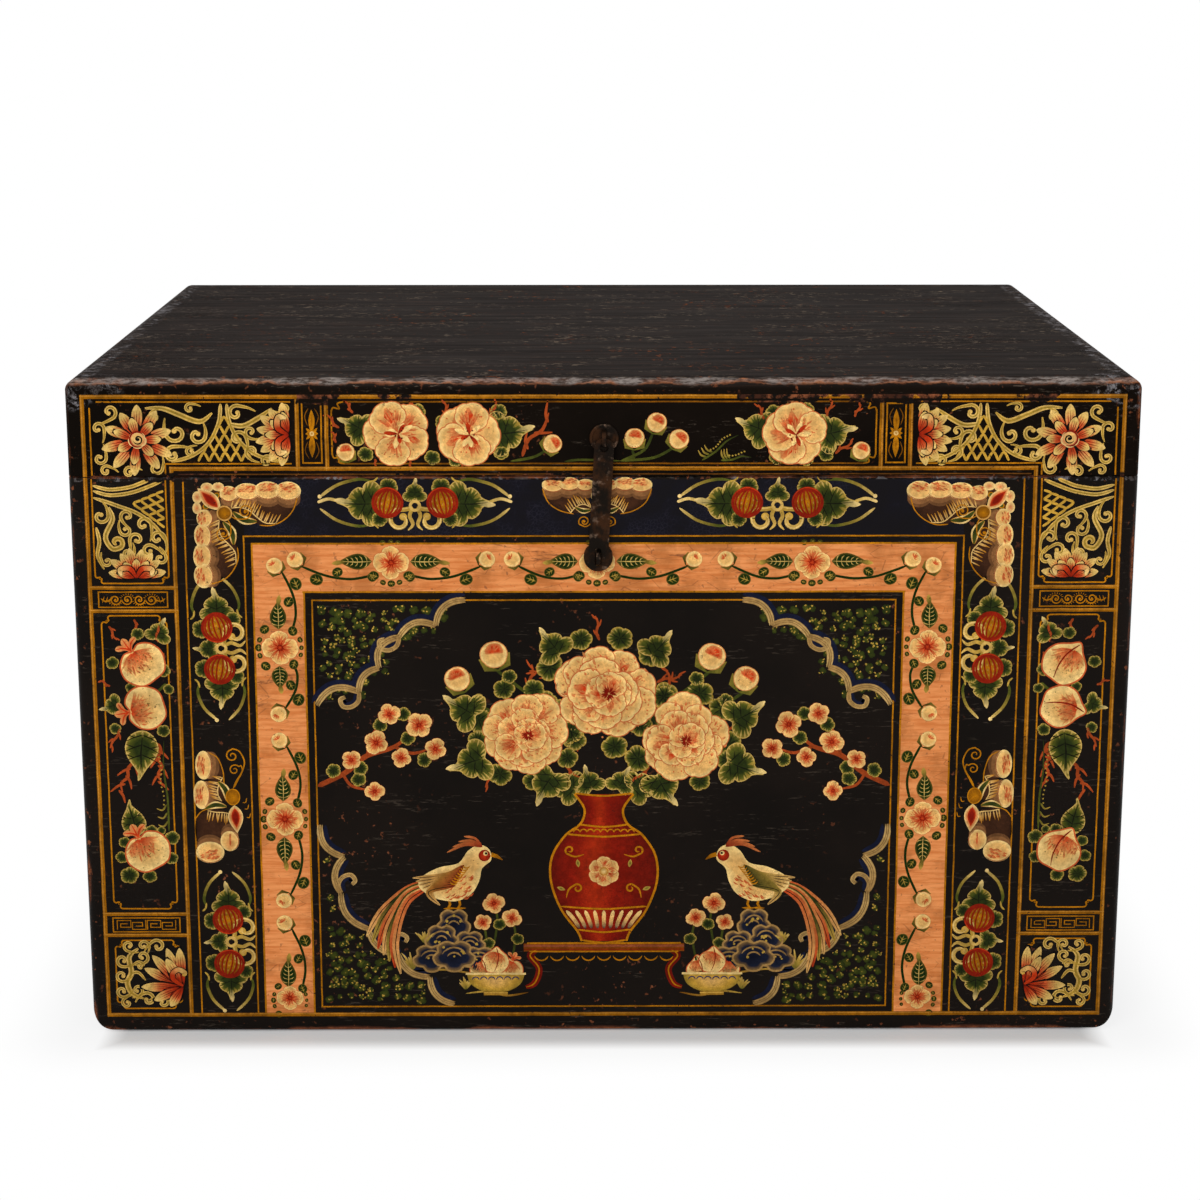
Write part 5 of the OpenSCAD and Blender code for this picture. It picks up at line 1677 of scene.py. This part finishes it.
def dotted_foliage(art, outline):
    """Dense dark green clumps with cream flecks, inside an outline."""
    step = 8
    vary = art.vary
    xs, zs = [p[0] for p in outline], [p[1] for p in outline]
    for i in range(int((max(xs) - min(xs)) / step) + 1):
        for k in range(int((max(zs) - min(zs)) / step) + 1):
            x = min(xs) + (i + 0.5 * (k % 2)) * step + vary(-3.2, 3.2)
            z = min(zs) + k * step + vary(-3.2, 3.2)
            if not inside(outline, x, z) or x < -248 or not 29 < z < 396:
                continue
            green = blend(T.leaf_mid, T.leaf, vary(0, 0.8))
            r = vary(2.4, 5)
            art.at(x, z, vary(0, 90)).fill(lobed(r, r * 0.8, 4, 0.25),
                core(green, T.leaf), (0, 0), coat=0.1)
            for _ in range(art.hand.choice((1, 2, 4, 6))):
                a, b = x + vary(-2.8, 2.8), z + vary(-2.8, 2.8)
                art.stroke([(a, b), (a + vary(-2, 2), b + vary(0.5, 2))], vary(0.9, 1.9),
                    blend(T.leaf_rim, T.leaf_mid, vary(-0.25, 0.8)), ends=(0.3, 0.5), coat=0.2)


UPPER_LOBES = (((-120, 401), (-146, 378), -8), ((-146, 378), (-178, 368), -8),
    ((-178, 368), (-196, 340), -9), ((-196, 340), (-214, 318), -6), ((-214, 318), (-251, 306), -10))
LOWER_LOBES = (((-251, 196), (-230, 166), -8), ((-230, 166), (-234, 132), -7), ((-234, 132), (-210, 98),
    -8), ((-210, 98), (-184, 74), -7), ((-184, 74), (-156, 52), -7), ((-156, 52), (-134, 26), -7))


def picture_corner(art, upper):
    """Lobes of ribbon across a corner of the picture with foliage behind them."""
    lobes = UPPER_LOBES if upper else LOWER_LOBES
    corner = [(-250, 398)] if upper else [(-250, 28)]
    edge = [point for a, b, rise in lobes for point in beside(bow(a, b, rise), 8 if upper else -8)]
    dotted_foliage(art, corner + edge)
    for a, b, rise in lobes:
        line = bow(a, b, rise)
        ribbon(art.at(0, 0, coat=0.5), line if upper else list(reversed(line)))
    hooks = ((-178, 368, 150), (-214, 318, 160)) if upper else ((-234, 132, 0), (-184, 74, 20))
    for x, z, turn in hooks:
        ribbon(art.at(x, z, turn, coat=0.5),
            smooth([(0, 0), (-2, 8), (2, 15), (9, 17), (13, 12), (10, 8)]), 4.2)


def broad_peony(art, r):
    """A big full flower of uneven scalloped petals, flecked with red."""
    hand, vary = art.hand, art.vary
    rings = ((9, 0.66, 0.35, 0, 0, 0.1, 0.6), (6, 0.4, 0.31, -0.05, -0.06, 0.2, 0.9),
        (4, 0.17, 0.25, 0.06, -0.08, 0.4, 1))
    for ring, (count, reach, size, x, z, low, high) in enumerate(rings):
        order = list(range(count))
        hand.shuffle(order)
        for layer, k in enumerate(order):
            turn = 23 * ring + 360 * k / count + vary(-12, 12)
            here = art.at(x * r, z * r, turn, coat=5 * ring + 0.5 * layer)
            petal(here, r * reach * vary(0.88, 1.1), r * size * vary(0.8, 1.22), vary(low, high))
    top = art.at(0.05 * r, -0.08 * r, coat=15)
    for k in range(int(r * 3)):
        a, far = vary(0, 6.28), r * vary(0.1, 0.85)
        x, z = far * cos(a), far * sin(a)
        top.stroke([(x, z), (x * 1.04 + vary(-1.5, 1.5), z * 1.06 + vary(1.5, 4.5))], vary(0.8, 2.4),
            blend(T.wash, T.cream, vary(0, 0.5)), blend(T.wash, T.cream, 0.65))
    streaks(top, 16, r * 0.02, r * 0.16, r * 0.04, T.red)


def bouquet(art):
    """Three great peonies with buds, leaves and coral twigs."""
    vary = art.vary
    flowers = ((0, 318, 47), (-70, 280, 39), (70, 276, 40))
    for x, z, r in flowers:
        for k in range(9):
            b = radians(40 * k + vary(-12, 12))
            far = r * vary(1, 1.14)
            peeping_leaf(art.at(x + far * cos(b), z + far * sin(b), degrees(b) - 90), vary(9, 13))
        for k in range(5):
            b = radians(20 + 72 * k + vary(-15, 15))
            twig(art.at(x + r * cos(b), z + r * sin(b), degrees(b) - 90, coat=-0.5), vary(18, 28), 3)
    scatter(art, vine_leaf, (-112, 296, 60, 34), (-104, 258, 110, 36), (-44, 244, 150, 34), (46, 242, 210,
        34), (108, 254, 250, 36), (112, 290, 300, 34), (-38, 352, 40, 30), (40, 350, -42, 30), coat=0.4)
    for x, z, turn, r in ((-128, 330, 30, 11), (-96, 352, 14, 12), (124, 330, -28, 11), (94, 350, -16, 12)):
        art.flow([(x * 0.55, z - 46), (x * 0.85, z - 24), (x, z - r)], 2.8,
            T.leaf_mid, T.leaf, ends=(0.2, 0.2))
        bud(art.at(x, z, turn, coat=0.8), r)
        peeping_leaf(art.at(x * 0.86, z - 20, turn), 7)
    for x, z, r in flowers[1:] + flowers[:1]:
        broad_peony(art.at(x, z, vary(0, 60), coat=1 if x else 16), r)


def vase(art):
    """A red vase with gold and cream bands on a low stand."""
    deep = blend(T.red, T.ground, 0.5)
    for side in mirror_pair(art):
        leg = smooth([(60, 78), (66, 72), (58, 60), (62, 46), (70, 42)])
        side.stroke(leg, 6, deep, T.red, ends=(0.1, 0.3), thin=0.5)
        side.stroke(leg, 1.3, T.gold, coat=0.3)
    art.line((-68, 80), (68, 80), width=7.5, colour=T.red, coat=0.2)
    art.line((-68, 84), (68, 84), width=1.5, colour=T.gold, coat=0.4)
    art.line((-66, 76), (66, 76), width=1.2, colour=T.gold, coat=0.4)
    for k in range(9):
        art.stroke(arc(-56 + 14 * k, 74, 6.4, 200, 340, 8), 1.3, T.gold, coat=0.3)
    half = smooth([(20, 86), (24, 96), (38, 116), (47, 142), (46, 166), (34, 186),
        (21, 196), (17, 210), (26, 224)], steps=4)
    turned(art, half,
        (deep, T.red, blend(T.red, T.wash, 0.5), T.red, blend(T.red, T.ground, 0.25), deep), coat=1)
    for side in mirror_pair(art):
        side.stroke(half, 2, T.gold, ends=(0, 0), coat=1.4)
    for z, w in ((86, 20), (96, 24), (118, 39), (186, 34), (195, 22), (224, 26)):
        art.flow([(-w, z + 1), (0, z - 1.5), (w, z + 1)], 1.7, T.gold, ends=(0.05, 0.05), coat=1.5)
    for k in range(9):
        x = -30 + 7.5 * k
        art.flow([(x * 0.72, 98), (x * 0.9, 107), (x * 1.12, 115)], 3.4,
            (linear("1b2036"), T.cream, T.pale), coat=1.4)
    for k in range(9):
        art.stroke(arc(-24 + 6 * k, 188.5, 2.8, 0, 180, 8), 1.2, T.gold, coat=1.5)
    for x, z, turn, flip in ((-27, 134, 30, False), (27, 134, -30, True),
            (-27, 170, 150, False), (27, 170, -150, True)):
        here = art.at(x, z, turn, flip=flip, coat=1.5)
        here.stroke(smooth([(-9, -3), (-3, 3), (5, 4)]) + curl(4, 0, 4, 80, -1, 0.35), 1.7, T.gold)
        here.at(-6, 4, 40).fill(drop(8, 3.6, 0.5), core(T.leaf_mid, T.leaf_rim))
    for k in range(6):
        petal(art.at(0, 152, 60 * k, coat=1.6 + 0.1 * (k % 2)), 8.5, 6.2, 0.5)
    art.dot(0, 152, 4, T.gold, T.pale, coat=4)
    for x, turn, tall in ((-24, 70, 30), (24, -70, 30), (-10, 20, 24), (12, -24, 24)):
        vine_leaf(art.at(x, 228, turn, coat=0.8), tall)


def long_tailed_bird(art, back):
    """A bird that stands at the origin and looks along +X, with a long hanging tail."""
    for k in range(7):
        tones = ((T.wash, T.salmon, T.cream), (T.leaf_mid, T.leaf, T.leaf_rim),
            (T.cream, T.salmon, T.wash))[k % 3]
        path = smooth([(-12, 26 - k), (-32, 18 - 2.2 * k),
            (-54 + 2 * k, -2 - 5 * k), (-68 + 5 * k, -26 - 6 * k)])
        art.stroke(path, 6, tones, ends=(0.3, 0.3), coat=0.1 * k)
        art.stroke(path, 0.8, T.ground, ends=(0.1, 0.4), coat=0.1 * k + 0.05)
    body = smooth([(-20, 20), (-6, 10), (12, 7), (26, 14), (33, 26), (36, 38), (44, 46), (42, 56), (33, 60),
        (23, 54), (15, 43), (-2, 39), (-18, 30)], True, 4)
    art.fill(body, core(T.cream, T.pale, 0.6), (10, 24), coat=1)
    for _ in range(34):
        x, z = art.vary(4, 29), art.vary(11, 32)
        art.stroke([(x, z), (x - 2, z - 2.2), (x - 4.5, z - 3)], 1.5, T.wash, T.salmon, coat=1.2)
    for k in range(9):
        path = smooth([(20 - k, 41 - 2.4 * k), (4 - 2 * k, 32 - 2 * k), (-26 + 3 * k, 29 - 3.2 * k)])
        art.stroke(path, 4.6, (back, blend(back, T.leaf_rim, 0.5), T.cream),
            ends=(0.3, 0.4), coat=1.4 + 0.05 * k)
        art.stroke(path, 0.7, T.ground, coat=1.42 + 0.05 * k)
    for k in range(8):
        art.stroke(arc(22 - 1.6 * k, 42 - 2.2 * k, 3.6, 200, 330, 6), 1.2, T.gold, coat=2)
    for k in range(4):
        art.flow([(36, 58), (30 - 3 * k, 66 - 2 * k), (20 - 5 * k, 68 - 5 * k)],
            2.2, T.red, T.salmon, coat=1.3)
    art.fill(arc(38, 50, 5.4, 0, 345, 15), core(T.wash, T.red), coat=1.5)
    art.dot(39, 52, 2.1, T.pale, coat=1.8)
    art.dot(39.5, 52, 1.2, T.ground, coat=1.9)
    art.stroke([(44, 51), (49, 49.5), (54, 46)], 4, T.gold, T.ochre, ends=(0, 0.8), coat=1.4)
    for x in (6, 15):
        art.stroke([(x, 9), (x + 1, 4), (x - 1, 0)], 2.2, T.gold, ends=(0, 0))
        art.stroke([(x - 5, 0), (x + 6, 0.5)], 1.8, T.gold, coat=0.5)


def garden_rock(art):
    """A rockery of blue-black lobes with cream-grey rims; it stands at the origin."""
    grey = blend(T.cream, T.ground, 0.48)
    for k, (x, z, wide, tall) in enumerate(((0, 44, 15, 15), (-11, 30, 15, 14), (14, 26, 14, 12),
            (-20, 12, 17, 13), (22, 11, 17, 12), (0, 14, 19, 15))):
        here = art.at(x, z, coat=0.5 * k)
        edge = smooth(lobed(wide, tall, 5, 0.22, 90, 4), True, 2)
        here.fill(edge,
            [(0, linear("0f1120")), (0.7, linear("1b2032")), (1, blend(grey, T.ground, 0.4))], (0, 0))
        here.outline(edge, 1.7, grey, coat=0.2)
        for share in (0.35, 0.62):
            here.stroke(arc(0, -tall * 0.2, wide * share, 25, 155, 8, tall / wide * 1.2), 1.5, grey,
                blend(grey, T.ground, 0.4), coat=0.2)
        for _ in range(4):
            here.dot(here.vary(-0.5, 0.5) * wide, here.vary(-0.2, 0.6) * tall,
                here.vary(0.8, 1.4), T.leaf_rim, coat=0.3)


def grass(art, x, z, tall):
    """A tuft of pale green blades."""
    blades = 7
    for k in range(blades):
        a = radians(50 + 80 * k / (blades - 1) + art.vary(-5, 5))
        reach = tall * art.vary(0.7, 1.1)
        art.flow([(x, z), (x + reach * 0.5 * cos(a), z + reach * 0.6 * sin(a)),
            (x + reach * cos(a), z + reach * 0.95 * sin(a))], 2.2,
            (T.leaf_mid, T.leaf_rim, blend(T.leaf_rim, T.pale, 0.4)), ends=(0.3, 0.7))


def blossom_branch(art):
    """A coral branch with small pink blossoms that leans in from the side."""
    for points, width in ((((-252, 232), (-228, 244), (-208, 260), (-184, 268), (-166, 284)), 4.6),
            (((-208, 260), (-202, 280), (-190, 294)), 3), (((-184, 268), (-168, 262), (-154, 266)), 2.8),
            (((-230, 243), (-222, 232), (-206, 228)), 2.6)):
        art.flow(list(points), width, blend(T.coral, T.ground, 0.3), T.coral, ends=(0.02, 0.5))
    for x, z, r in ((-222, 256, 9), (-200, 272, 11), (-188, 298, 10), (-162, 288, 12),
            (-148, 266, 10), (-178, 258, 9), (-202, 227, 9)):
        band_flower(art.at(x, z, art.vary(0, 90), coat=0.8), r)
    for x, z, turn in ((-238, 246, 60), (-214, 248, -120), (-196, 288, 60), (-172, 276, -140),
            (-176, 298, 20), (-158, 256, 90), (-216, 238, 200)):
        peeping_leaf(art.at(x, z, turn, coat=0.2), 7)


def garden_side(art, back):
    """A rock with a bird on it and grass on the left of the vase."""
    garden_rock(art.at(-134, 58))
    long_tailed_bird(art.at(-144, 117, coat=3), back)
    for x, z, tall in ((-172, 58, 20), (-104, 58, 18), (-160, 84, 13), (-124, 40, 12)):
        grass(art.at(0, 0, coat=0.6), x, z, tall)
    for z, x0, x1 in ((57, -178, -78), (36, -124, -68)):
        art.flow([(x0, z), ((x0 * 2 + x1) / 3, z + 2), ((x0 + 2 * x1) / 3, z - 2), (x1, z + 1)],
            1.8, T.leaf_rim, T.ochre)
    for x, z, r, turn in ((-98, 122, 10, 10), (-82, 108, 9, -20), (-108, 104, 8, 30)):
        art.flow([(x, z), (x + 3, z - 18), (x - 2, z - 48)], 2, T.leaf_mid, T.leaf)
        band_flower(art.at(x, z, turn, coat=0.8), r)
        peeping_leaf(art.at(x + 5, z - 20, turn), 6)


def fruit_dish(art):
    """A cream dish with two peaches and a pomegranate."""
    for x, z, draw, turn, r in ((-11, 108, peach, 14, 12),
            (12, 108, pomegranate, -20, 12), (0, 116, peach, -4, 12)):
        draw(art.at(x, z - 18, turn, coat=2 if x == 0 else 0.5), r)
    bowl = smooth([(-26, 86), (-22, 76), (-9, 69), (9, 69), (22, 76), (26, 86)])
    art.fill(bowl, [(0, T.cream), (0.7, T.scroll), (1, blend(T.scroll, T.leaf_mid, 0.5))], (0, 79), coat=4)
    for k in range(6):
        art.stroke(arc(-18 + 7.2 * k, 80, 3, 0, 180, 8), 1.1, linear("27305a"), coat=4.4)
    art.line((-26, 86), (26, 86), width=2, colour=T.pale, coat=4.4)
    art.line((-9, 67), (9, 67), width=3.4, colour=T.scroll, coat=4)


def bow(a, b, rise):
    """A curve from a to b that rises to its left in the middle."""
    steps = 12
    dx, dz = b[0] - a[0], b[1] - a[1]
    size = hypot(dx, dz)
    path = []
    for i in range(steps + 1):
        t = i / steps
        lift = rise * 4 * t * (1 - t) / size
        path.append((a[0] + dx * t - dz * lift, a[1] + dz * t + dx * lift))
    return path


def turned(art, profile, tones, coat):
    """A round vessel shaded across: pairs of a half width and a height, and tones from left to right."""
    art.begin(coat)
    last = len(tones) - 1
    rows = [
        [art.put((wide * (2 * k / last - 1), z), tones[k]) for k in range(last + 1)] for wide, z in profile]
    for low, high in zip(rows, rows[1:]):
        for k in range(last):
            art.face(low[k], low[k + 1], high[k + 1], high[k])


# Stage

LAMP_AIM = (0, 0, 0.3)
FLOOR_SIZE = 14


def soft_lamp(name, place, size, power):
    """A square area lamp that points at the chest."""
    data = bpy.data.lights.new(name, "AREA")
    data.shape = "SQUARE"
    data.size = size
    data.energy = power
    lamp = bpy.data.objects.new(name, data)
    lamp.location = place
    lamp.rotation_euler = (Vector(LAMP_AIM) - Vector(place)).to_track_quat("-Z", "Y").to_euler()
    bpy.context.scene.collection.objects.link(lamp)


def studio_white():
    """A world that looks white and lights evenly."""
    world = bpy.data.worlds.new("studio_white")
    bpy.context.scene.world = world
    world.use_nodes = True
    tree = world.node_tree
    tree.nodes.clear()
    rays = tree.nodes.new("ShaderNodeLightPath").outputs
    seen = rays["Is Camera Ray"]
    for name in ("Is Transmission Ray", "Is Glossy Ray"):
        either = tree.nodes.new("ShaderNodeMath")
        either.operation = "MAXIMUM"
        tree.links.new(seen, either.inputs[0])
        tree.links.new(rays[name], either.inputs[1])
        seen = either.outputs[0]
    pick = tree.nodes.new("ShaderNodeMixShader")
    tree.links.new(seen, pick.inputs[0])
    for socket, strength in ((1, settings("stage").sky), (2, 1)):
        light = tree.nodes.new("ShaderNodeBackground")
        light.inputs["Color"].default_value = (1, 1, 1, 1)
        light.inputs["Strength"].default_value = strength
        tree.links.new(light.outputs[0], pick.inputs[socket])
    out = tree.nodes.new("ShaderNodeOutputWorld")
    tree.links.new(pick.outputs[0], out.inputs["Surface"])


def floor_white():
    """A white floor that keeps the chest's shadow and fades to plain white further out."""
    n = Nodes("floor_white")
    n.finish((0.72, 0.72, 0.72), 0.9, Specular_IOR_Level=0)
    across = most(abs(n.x) - END_X, 0)
    deep = most(abs(n.y - MIDDLE_Y) - HALF_DEPTH, 0)
    away = n.math("SQRT", across * across + deep * deep)
    ahead = FRONT_Y - n.y
    ends = n.ramp(abs(n.x), END_X - 0.04, END_X + 0.002)
    beyond = most(ends, n.ramp(ahead, -0.06, -0.03, 1, 0))
    front = most(n.ramp(ahead, 0.014, 0.046, 0.1, 1), beyond)
    fade = least(n.ramp(away, 0, 0.1, 0.82, 1), front)
    rays = n.add("ShaderNodeLightPath").outputs
    seen = most(Value(n, rays["Is Camera Ray"]), Value(n, rays["Is Glossy Ray"]))
    glow = n.value("ShaderNodeEmission", 0)
    both = n.add("ShaderNodeMixShader", {0: fade * seen, 1: Value(n, n.shader.outputs[0]), 2: glow})
    n.link(both.outputs[0], n.surface)
    return n.material


# Operators

def dress(material, *words):
    """Puts a material on the record's solids whose names hold one of the words."""
    for name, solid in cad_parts.items():
        if any(word in name for word in words):
            slots = solid.data.materials
            if len(slots) == 0:
                raise RuntimeError("no material slot on " + name)
            for i in range(len(slots)):
                slots[i] = material


class LacquerBoards(bpy.types.Operator):
    """Worn black lacquer on the boards, bare wood on the lips and battens."""
    bl_idname = "chest.boards"
    bl_label = "Boards"

    def execute(self, context):
        dress(lacquer("case_lacquer", 0, SEAM_Z, False), "case_", "bottom_plank")
        lid = lacquer("lid_lacquer", SEAM_Z, LID_TOP_Z, True)
        dress(lid, "lid_front", "lid_back", "lid_left", "lid_right", "lid_plank")
        dress(bare_wood("bare_wood", 0), "lip_front")
        dress(bare_wood("bare_wood_turned", 1), "lip_left", "lip_right", "lid_batten")
        return {"FINISHED"}


class ForgeIronwork(bpy.types.Operator):
    """Dark forged iron on the hasp, hinges, handles and nails."""
    bl_idname = "chest.ironwork"
    bl_label = "Ironwork"

    def execute(self, context):
        dress(iron("forged_iron", 0.38), "rose", "staple", "hasp", "strap", "bail", "eyes")
        dress(iron("nail_iron", 0.5), "nails")
        return {"FINISHED"}


def painted(name, draw, seed, flip=None, x=0, z=0, coat=0, body="case", finish="flower_paint"):
    """Draws one painting from its spot, mirrored where flip is true, and lays it on its body."""
    art = Painting(name + {None: "", False: "_left", True: "_right"}[flip], body, seed)
    draw(art.at(0, 0, flip=flip).at(x, z, coat=coat))
    art.make(finish)


class DrawLines(bpy.types.Operator):
    """Gold lines that divide the front into panels."""
    bl_idname = "chest.lines"
    bl_label = "Gold lines"

    def execute(self, context):
        case_lines().make("gold_line_paint")
        lid_lines().make("gold_line_paint")
        return {"FINISHED"}


class PaintCornerPanels(bpy.types.Operator):
    """Scrollwork in the upper and lower corner panels of the case."""
    bl_idname = "chest.corner_panels"
    bl_label = "Corner panels"

    def execute(self, context):
        for flip in LEFT_RIGHT:
            painted("upper_corner_scrolls", corner_scrolls, 11, flip)
            painted("lower_corner_scrolls", lower_corner_scrolls, 12, flip)
        return {"FINISHED"}


class PaintStrips(bpy.types.Operator):
    """Gold scroll strips and key frets over and under the fruit panels."""
    bl_idname = "chest.strips"
    bl_label = "Scroll strips"

    def execute(self, context):
        for flip in LEFT_RIGHT:
            painted("gold_strips", gold_strips, 13, flip, finish="gold_line_paint")
        return {"FINISHED"}


class PaintFruit(bpy.types.Operator):
    """Pomegranates on the left, peaches on the right."""
    bl_idname = "chest.fruit"
    bl_label = "Fruit panels"

    def execute(self, context):
        for flip, fruit in zip(LEFT_RIGHT, (pomegranate, peach)):
            painted("fruit_panel", lambda art: fruit_panel(art, fruit), 14 + flip, flip, coat=0.2)
        return {"FINISHED"}


class PaintColumns(bpy.types.Operator):
    """Melons and a butterfly in the columns beside the band."""
    bl_idname = "chest.columns"
    bl_label = "Side columns"

    def execute(self, context):
        for flip in LEFT_RIGHT:
            painted("side_column", side_column, 17, flip, coat=0.2)
        return {"FINISHED"}


class PaintTopStrip(bpy.types.Operator):
    """The blue-black strip under the lid with its melons and butterflies."""
    bl_idname = "chest.top_strip"
    bl_label = "Top strip"

    def execute(self, context):
        lift = settings("layout").paint_lift * 0.7
        ground = plain_strip("top_strip_ground", -310, L.strip_z, 310, SEAM - SEAM_GAP, lift)
        place_mesh(ground, "case", night_ground())
        for side, x, gap in (("left", -162.5, 23.6), ("right", 149, 26)):
            painted("strip_melons_" + side, lambda art: melon_group(art, gap), 19, x=x, z=487.5, coat=0.3)
        for flip in LEFT_RIGHT:
            painted("corner_butterfly", corner_butterfly, 21, flip, -325.5, 477.5, 0.3)
        painted("strip_butterfly", profile_butterfly, 22, x=-6, z=478, coat=0.3)
        return {"FINISHED"}


class PaintBand(bpy.types.Operator):
    """The salmon band with its vine of flowers and buds."""
    bl_idname = "chest.band"
    bl_label = "Salmon band"

    def execute(self, context):
        place_mesh(band(settings("layout")), "case", band_paint())
        for flip in LEFT_RIGHT:
            painted("band_vine", band_vine, 23, flip, coat=0.5, finish="fresh_flower_paint")
        painted("band_vine_top", band_top_vine, 24, coat=0.5, finish="fresh_flower_paint")
        return {"FINISHED"}


class PaintPicture(bpy.types.Operator):
    """A vase of peonies between birds on rocks, framed by lobed ribbons and foliage."""
    bl_idname = "chest.picture"
    bl_label = "Picture"

    def execute(self, context):
        for flip in LEFT_RIGHT:
            for level in ("upper", "lower"):
                painted("picture_" + level + "_corner",
                    lambda art: picture_corner(art, level == "upper"), 31, flip)
            painted("picture_bird",
                lambda art: garden_side(art, T.leaf if flip else T.red), 32 + flip, flip, coat=0.5)
            painted("picture_branch", blossom_branch, 34 + flip, flip, coat=0.5)
            dish = "picture_dish_right" if flip else "picture_dish_left"
            painted(dish, fruit_dish, 38 + flip, x=97 if flip else -97, z=-31, coat=3)
        painted("picture_bouquet", bouquet, 36, coat=0.5)
        painted("picture_vase", vase, 36, coat=0.5)
        return {"FINISHED"}


class PaintLid(bpy.types.Operator):
    """Lotus scrolls, gold flowers and peonies along the lid."""
    bl_idname = "chest.lid"
    bl_label = "Lid painting"

    def execute(self, context):
        for flip in LEFT_RIGHT:
            painted("lid_corner", lid_corner, 27, flip, coat=0.2, body="lid")
            painted("lid_gold_flower", small_lid_panel, 28, flip, coat=0.2,
                body="lid", finish="gold_line_paint")
        painted("lid_peonies", lid_centre, 29, body="lid", finish="fresh_flower_paint")
        return {"FINISHED"}


class SetStage(bpy.types.Operator):
    """Floor, white surroundings, lamps and camera."""
    bl_idname = "chest.stage"
    bl_label = "Stage"

    def execute(self, context):
        stage = settings("stage")
        scene = bpy.context.scene
        scene.view_settings.view_transform = "Standard"
        studio_white()
        bpy.ops.mesh.primitive_plane_add(size=FLOOR_SIZE, location=(0, 0, -0.0005))
        ground = bpy.context.object
        ground.name = "studio_floor"
        ground.data.materials.append(floor_white())
        soft_lamp("key_lamp", (-1.5, -2.6, 2.4), 2.2, stage.key)
        soft_lamp("fill_lamp", (2, -2.4, 1.2), 2.4, stage.fill)
        soft_lamp("back_lamp", (0.6, 2.6, 2.4), 2.6, stage.fill)
        data = bpy.data.cameras.new("front_camera")
        camera = bpy.data.objects.new("front_camera", data)
        scene.collection.objects.link(camera)
        data.lens = stage.lens
        data.sensor_width = 36
        data.shift_y = stage.shift
        camera.location = (stage.camera_x, stage.camera_y, stage.camera_z)
        camera.rotation_euler = (radians(90) - stage.pitch, 0, -stage.yaw)
        scene.camera = camera
        return {"FINISHED"}


class ChestPanel(bpy.types.Panel):
    """The chest's steps in the 3D view's sidebar."""
    bl_idname = "VIEW3D_PT_opera_chest"
    bl_label = "Opera Chest"
    bl_space_type = "VIEW_3D"
    bl_region_type = "UI"
    bl_category = "Opera Chest"

    def draw(self, context):
        for step in STEPS:
            self.layout.operator(step.bl_idname, text=step.bl_label)
        for group in GROUPS:
            box = self.layout.box()
            values = settings(group)
            for key in values.bl_rna.properties.keys():
                if key not in ("rna_type", "name"):
                    box.prop(values, key)


GROUPS = {"paints": ChestPaints, "finish": ChestFinish, "layout": ChestLayout, "stage": ChestStage}
STEPS = (LacquerBoards, ForgeIronwork, DrawLines, PaintCornerPanels, PaintStrips, PaintFruit, PaintColumns,
    PaintTopStrip, PaintBand, PaintPicture, PaintLid, SetStage)


def register():
    for name, group in GROUPS.items():
        bpy.utils.register_class(group)
        setattr(bpy.types.Scene, "chest_" + name, bpy.props.PointerProperty(type=group))
    for step in STEPS:
        bpy.utils.register_class(step)
    bpy.utils.register_class(ChestPanel)


def unregister():
    bpy.utils.unregister_class(ChestPanel)
    for step in reversed(STEPS):
        bpy.utils.unregister_class(step)
    for name, group in reversed(GROUPS.items()):
        delattr(bpy.types.Scene, "chest_" + name)
        bpy.utils.unregister_class(group)


def main():
    register()
    bpy.ops.chest.boards()
    bpy.ops.chest.ironwork()
    bpy.ops.chest.lines()
    bpy.ops.chest.corner_panels()
    bpy.ops.chest.strips()
    bpy.ops.chest.fruit()
    bpy.ops.chest.columns()
    bpy.ops.chest.top_strip()
    bpy.ops.chest.band()
    bpy.ops.chest.picture()
    bpy.ops.chest.lid()
    bpy.ops.chest.stage()


if __name__ == "__main__":
    main()
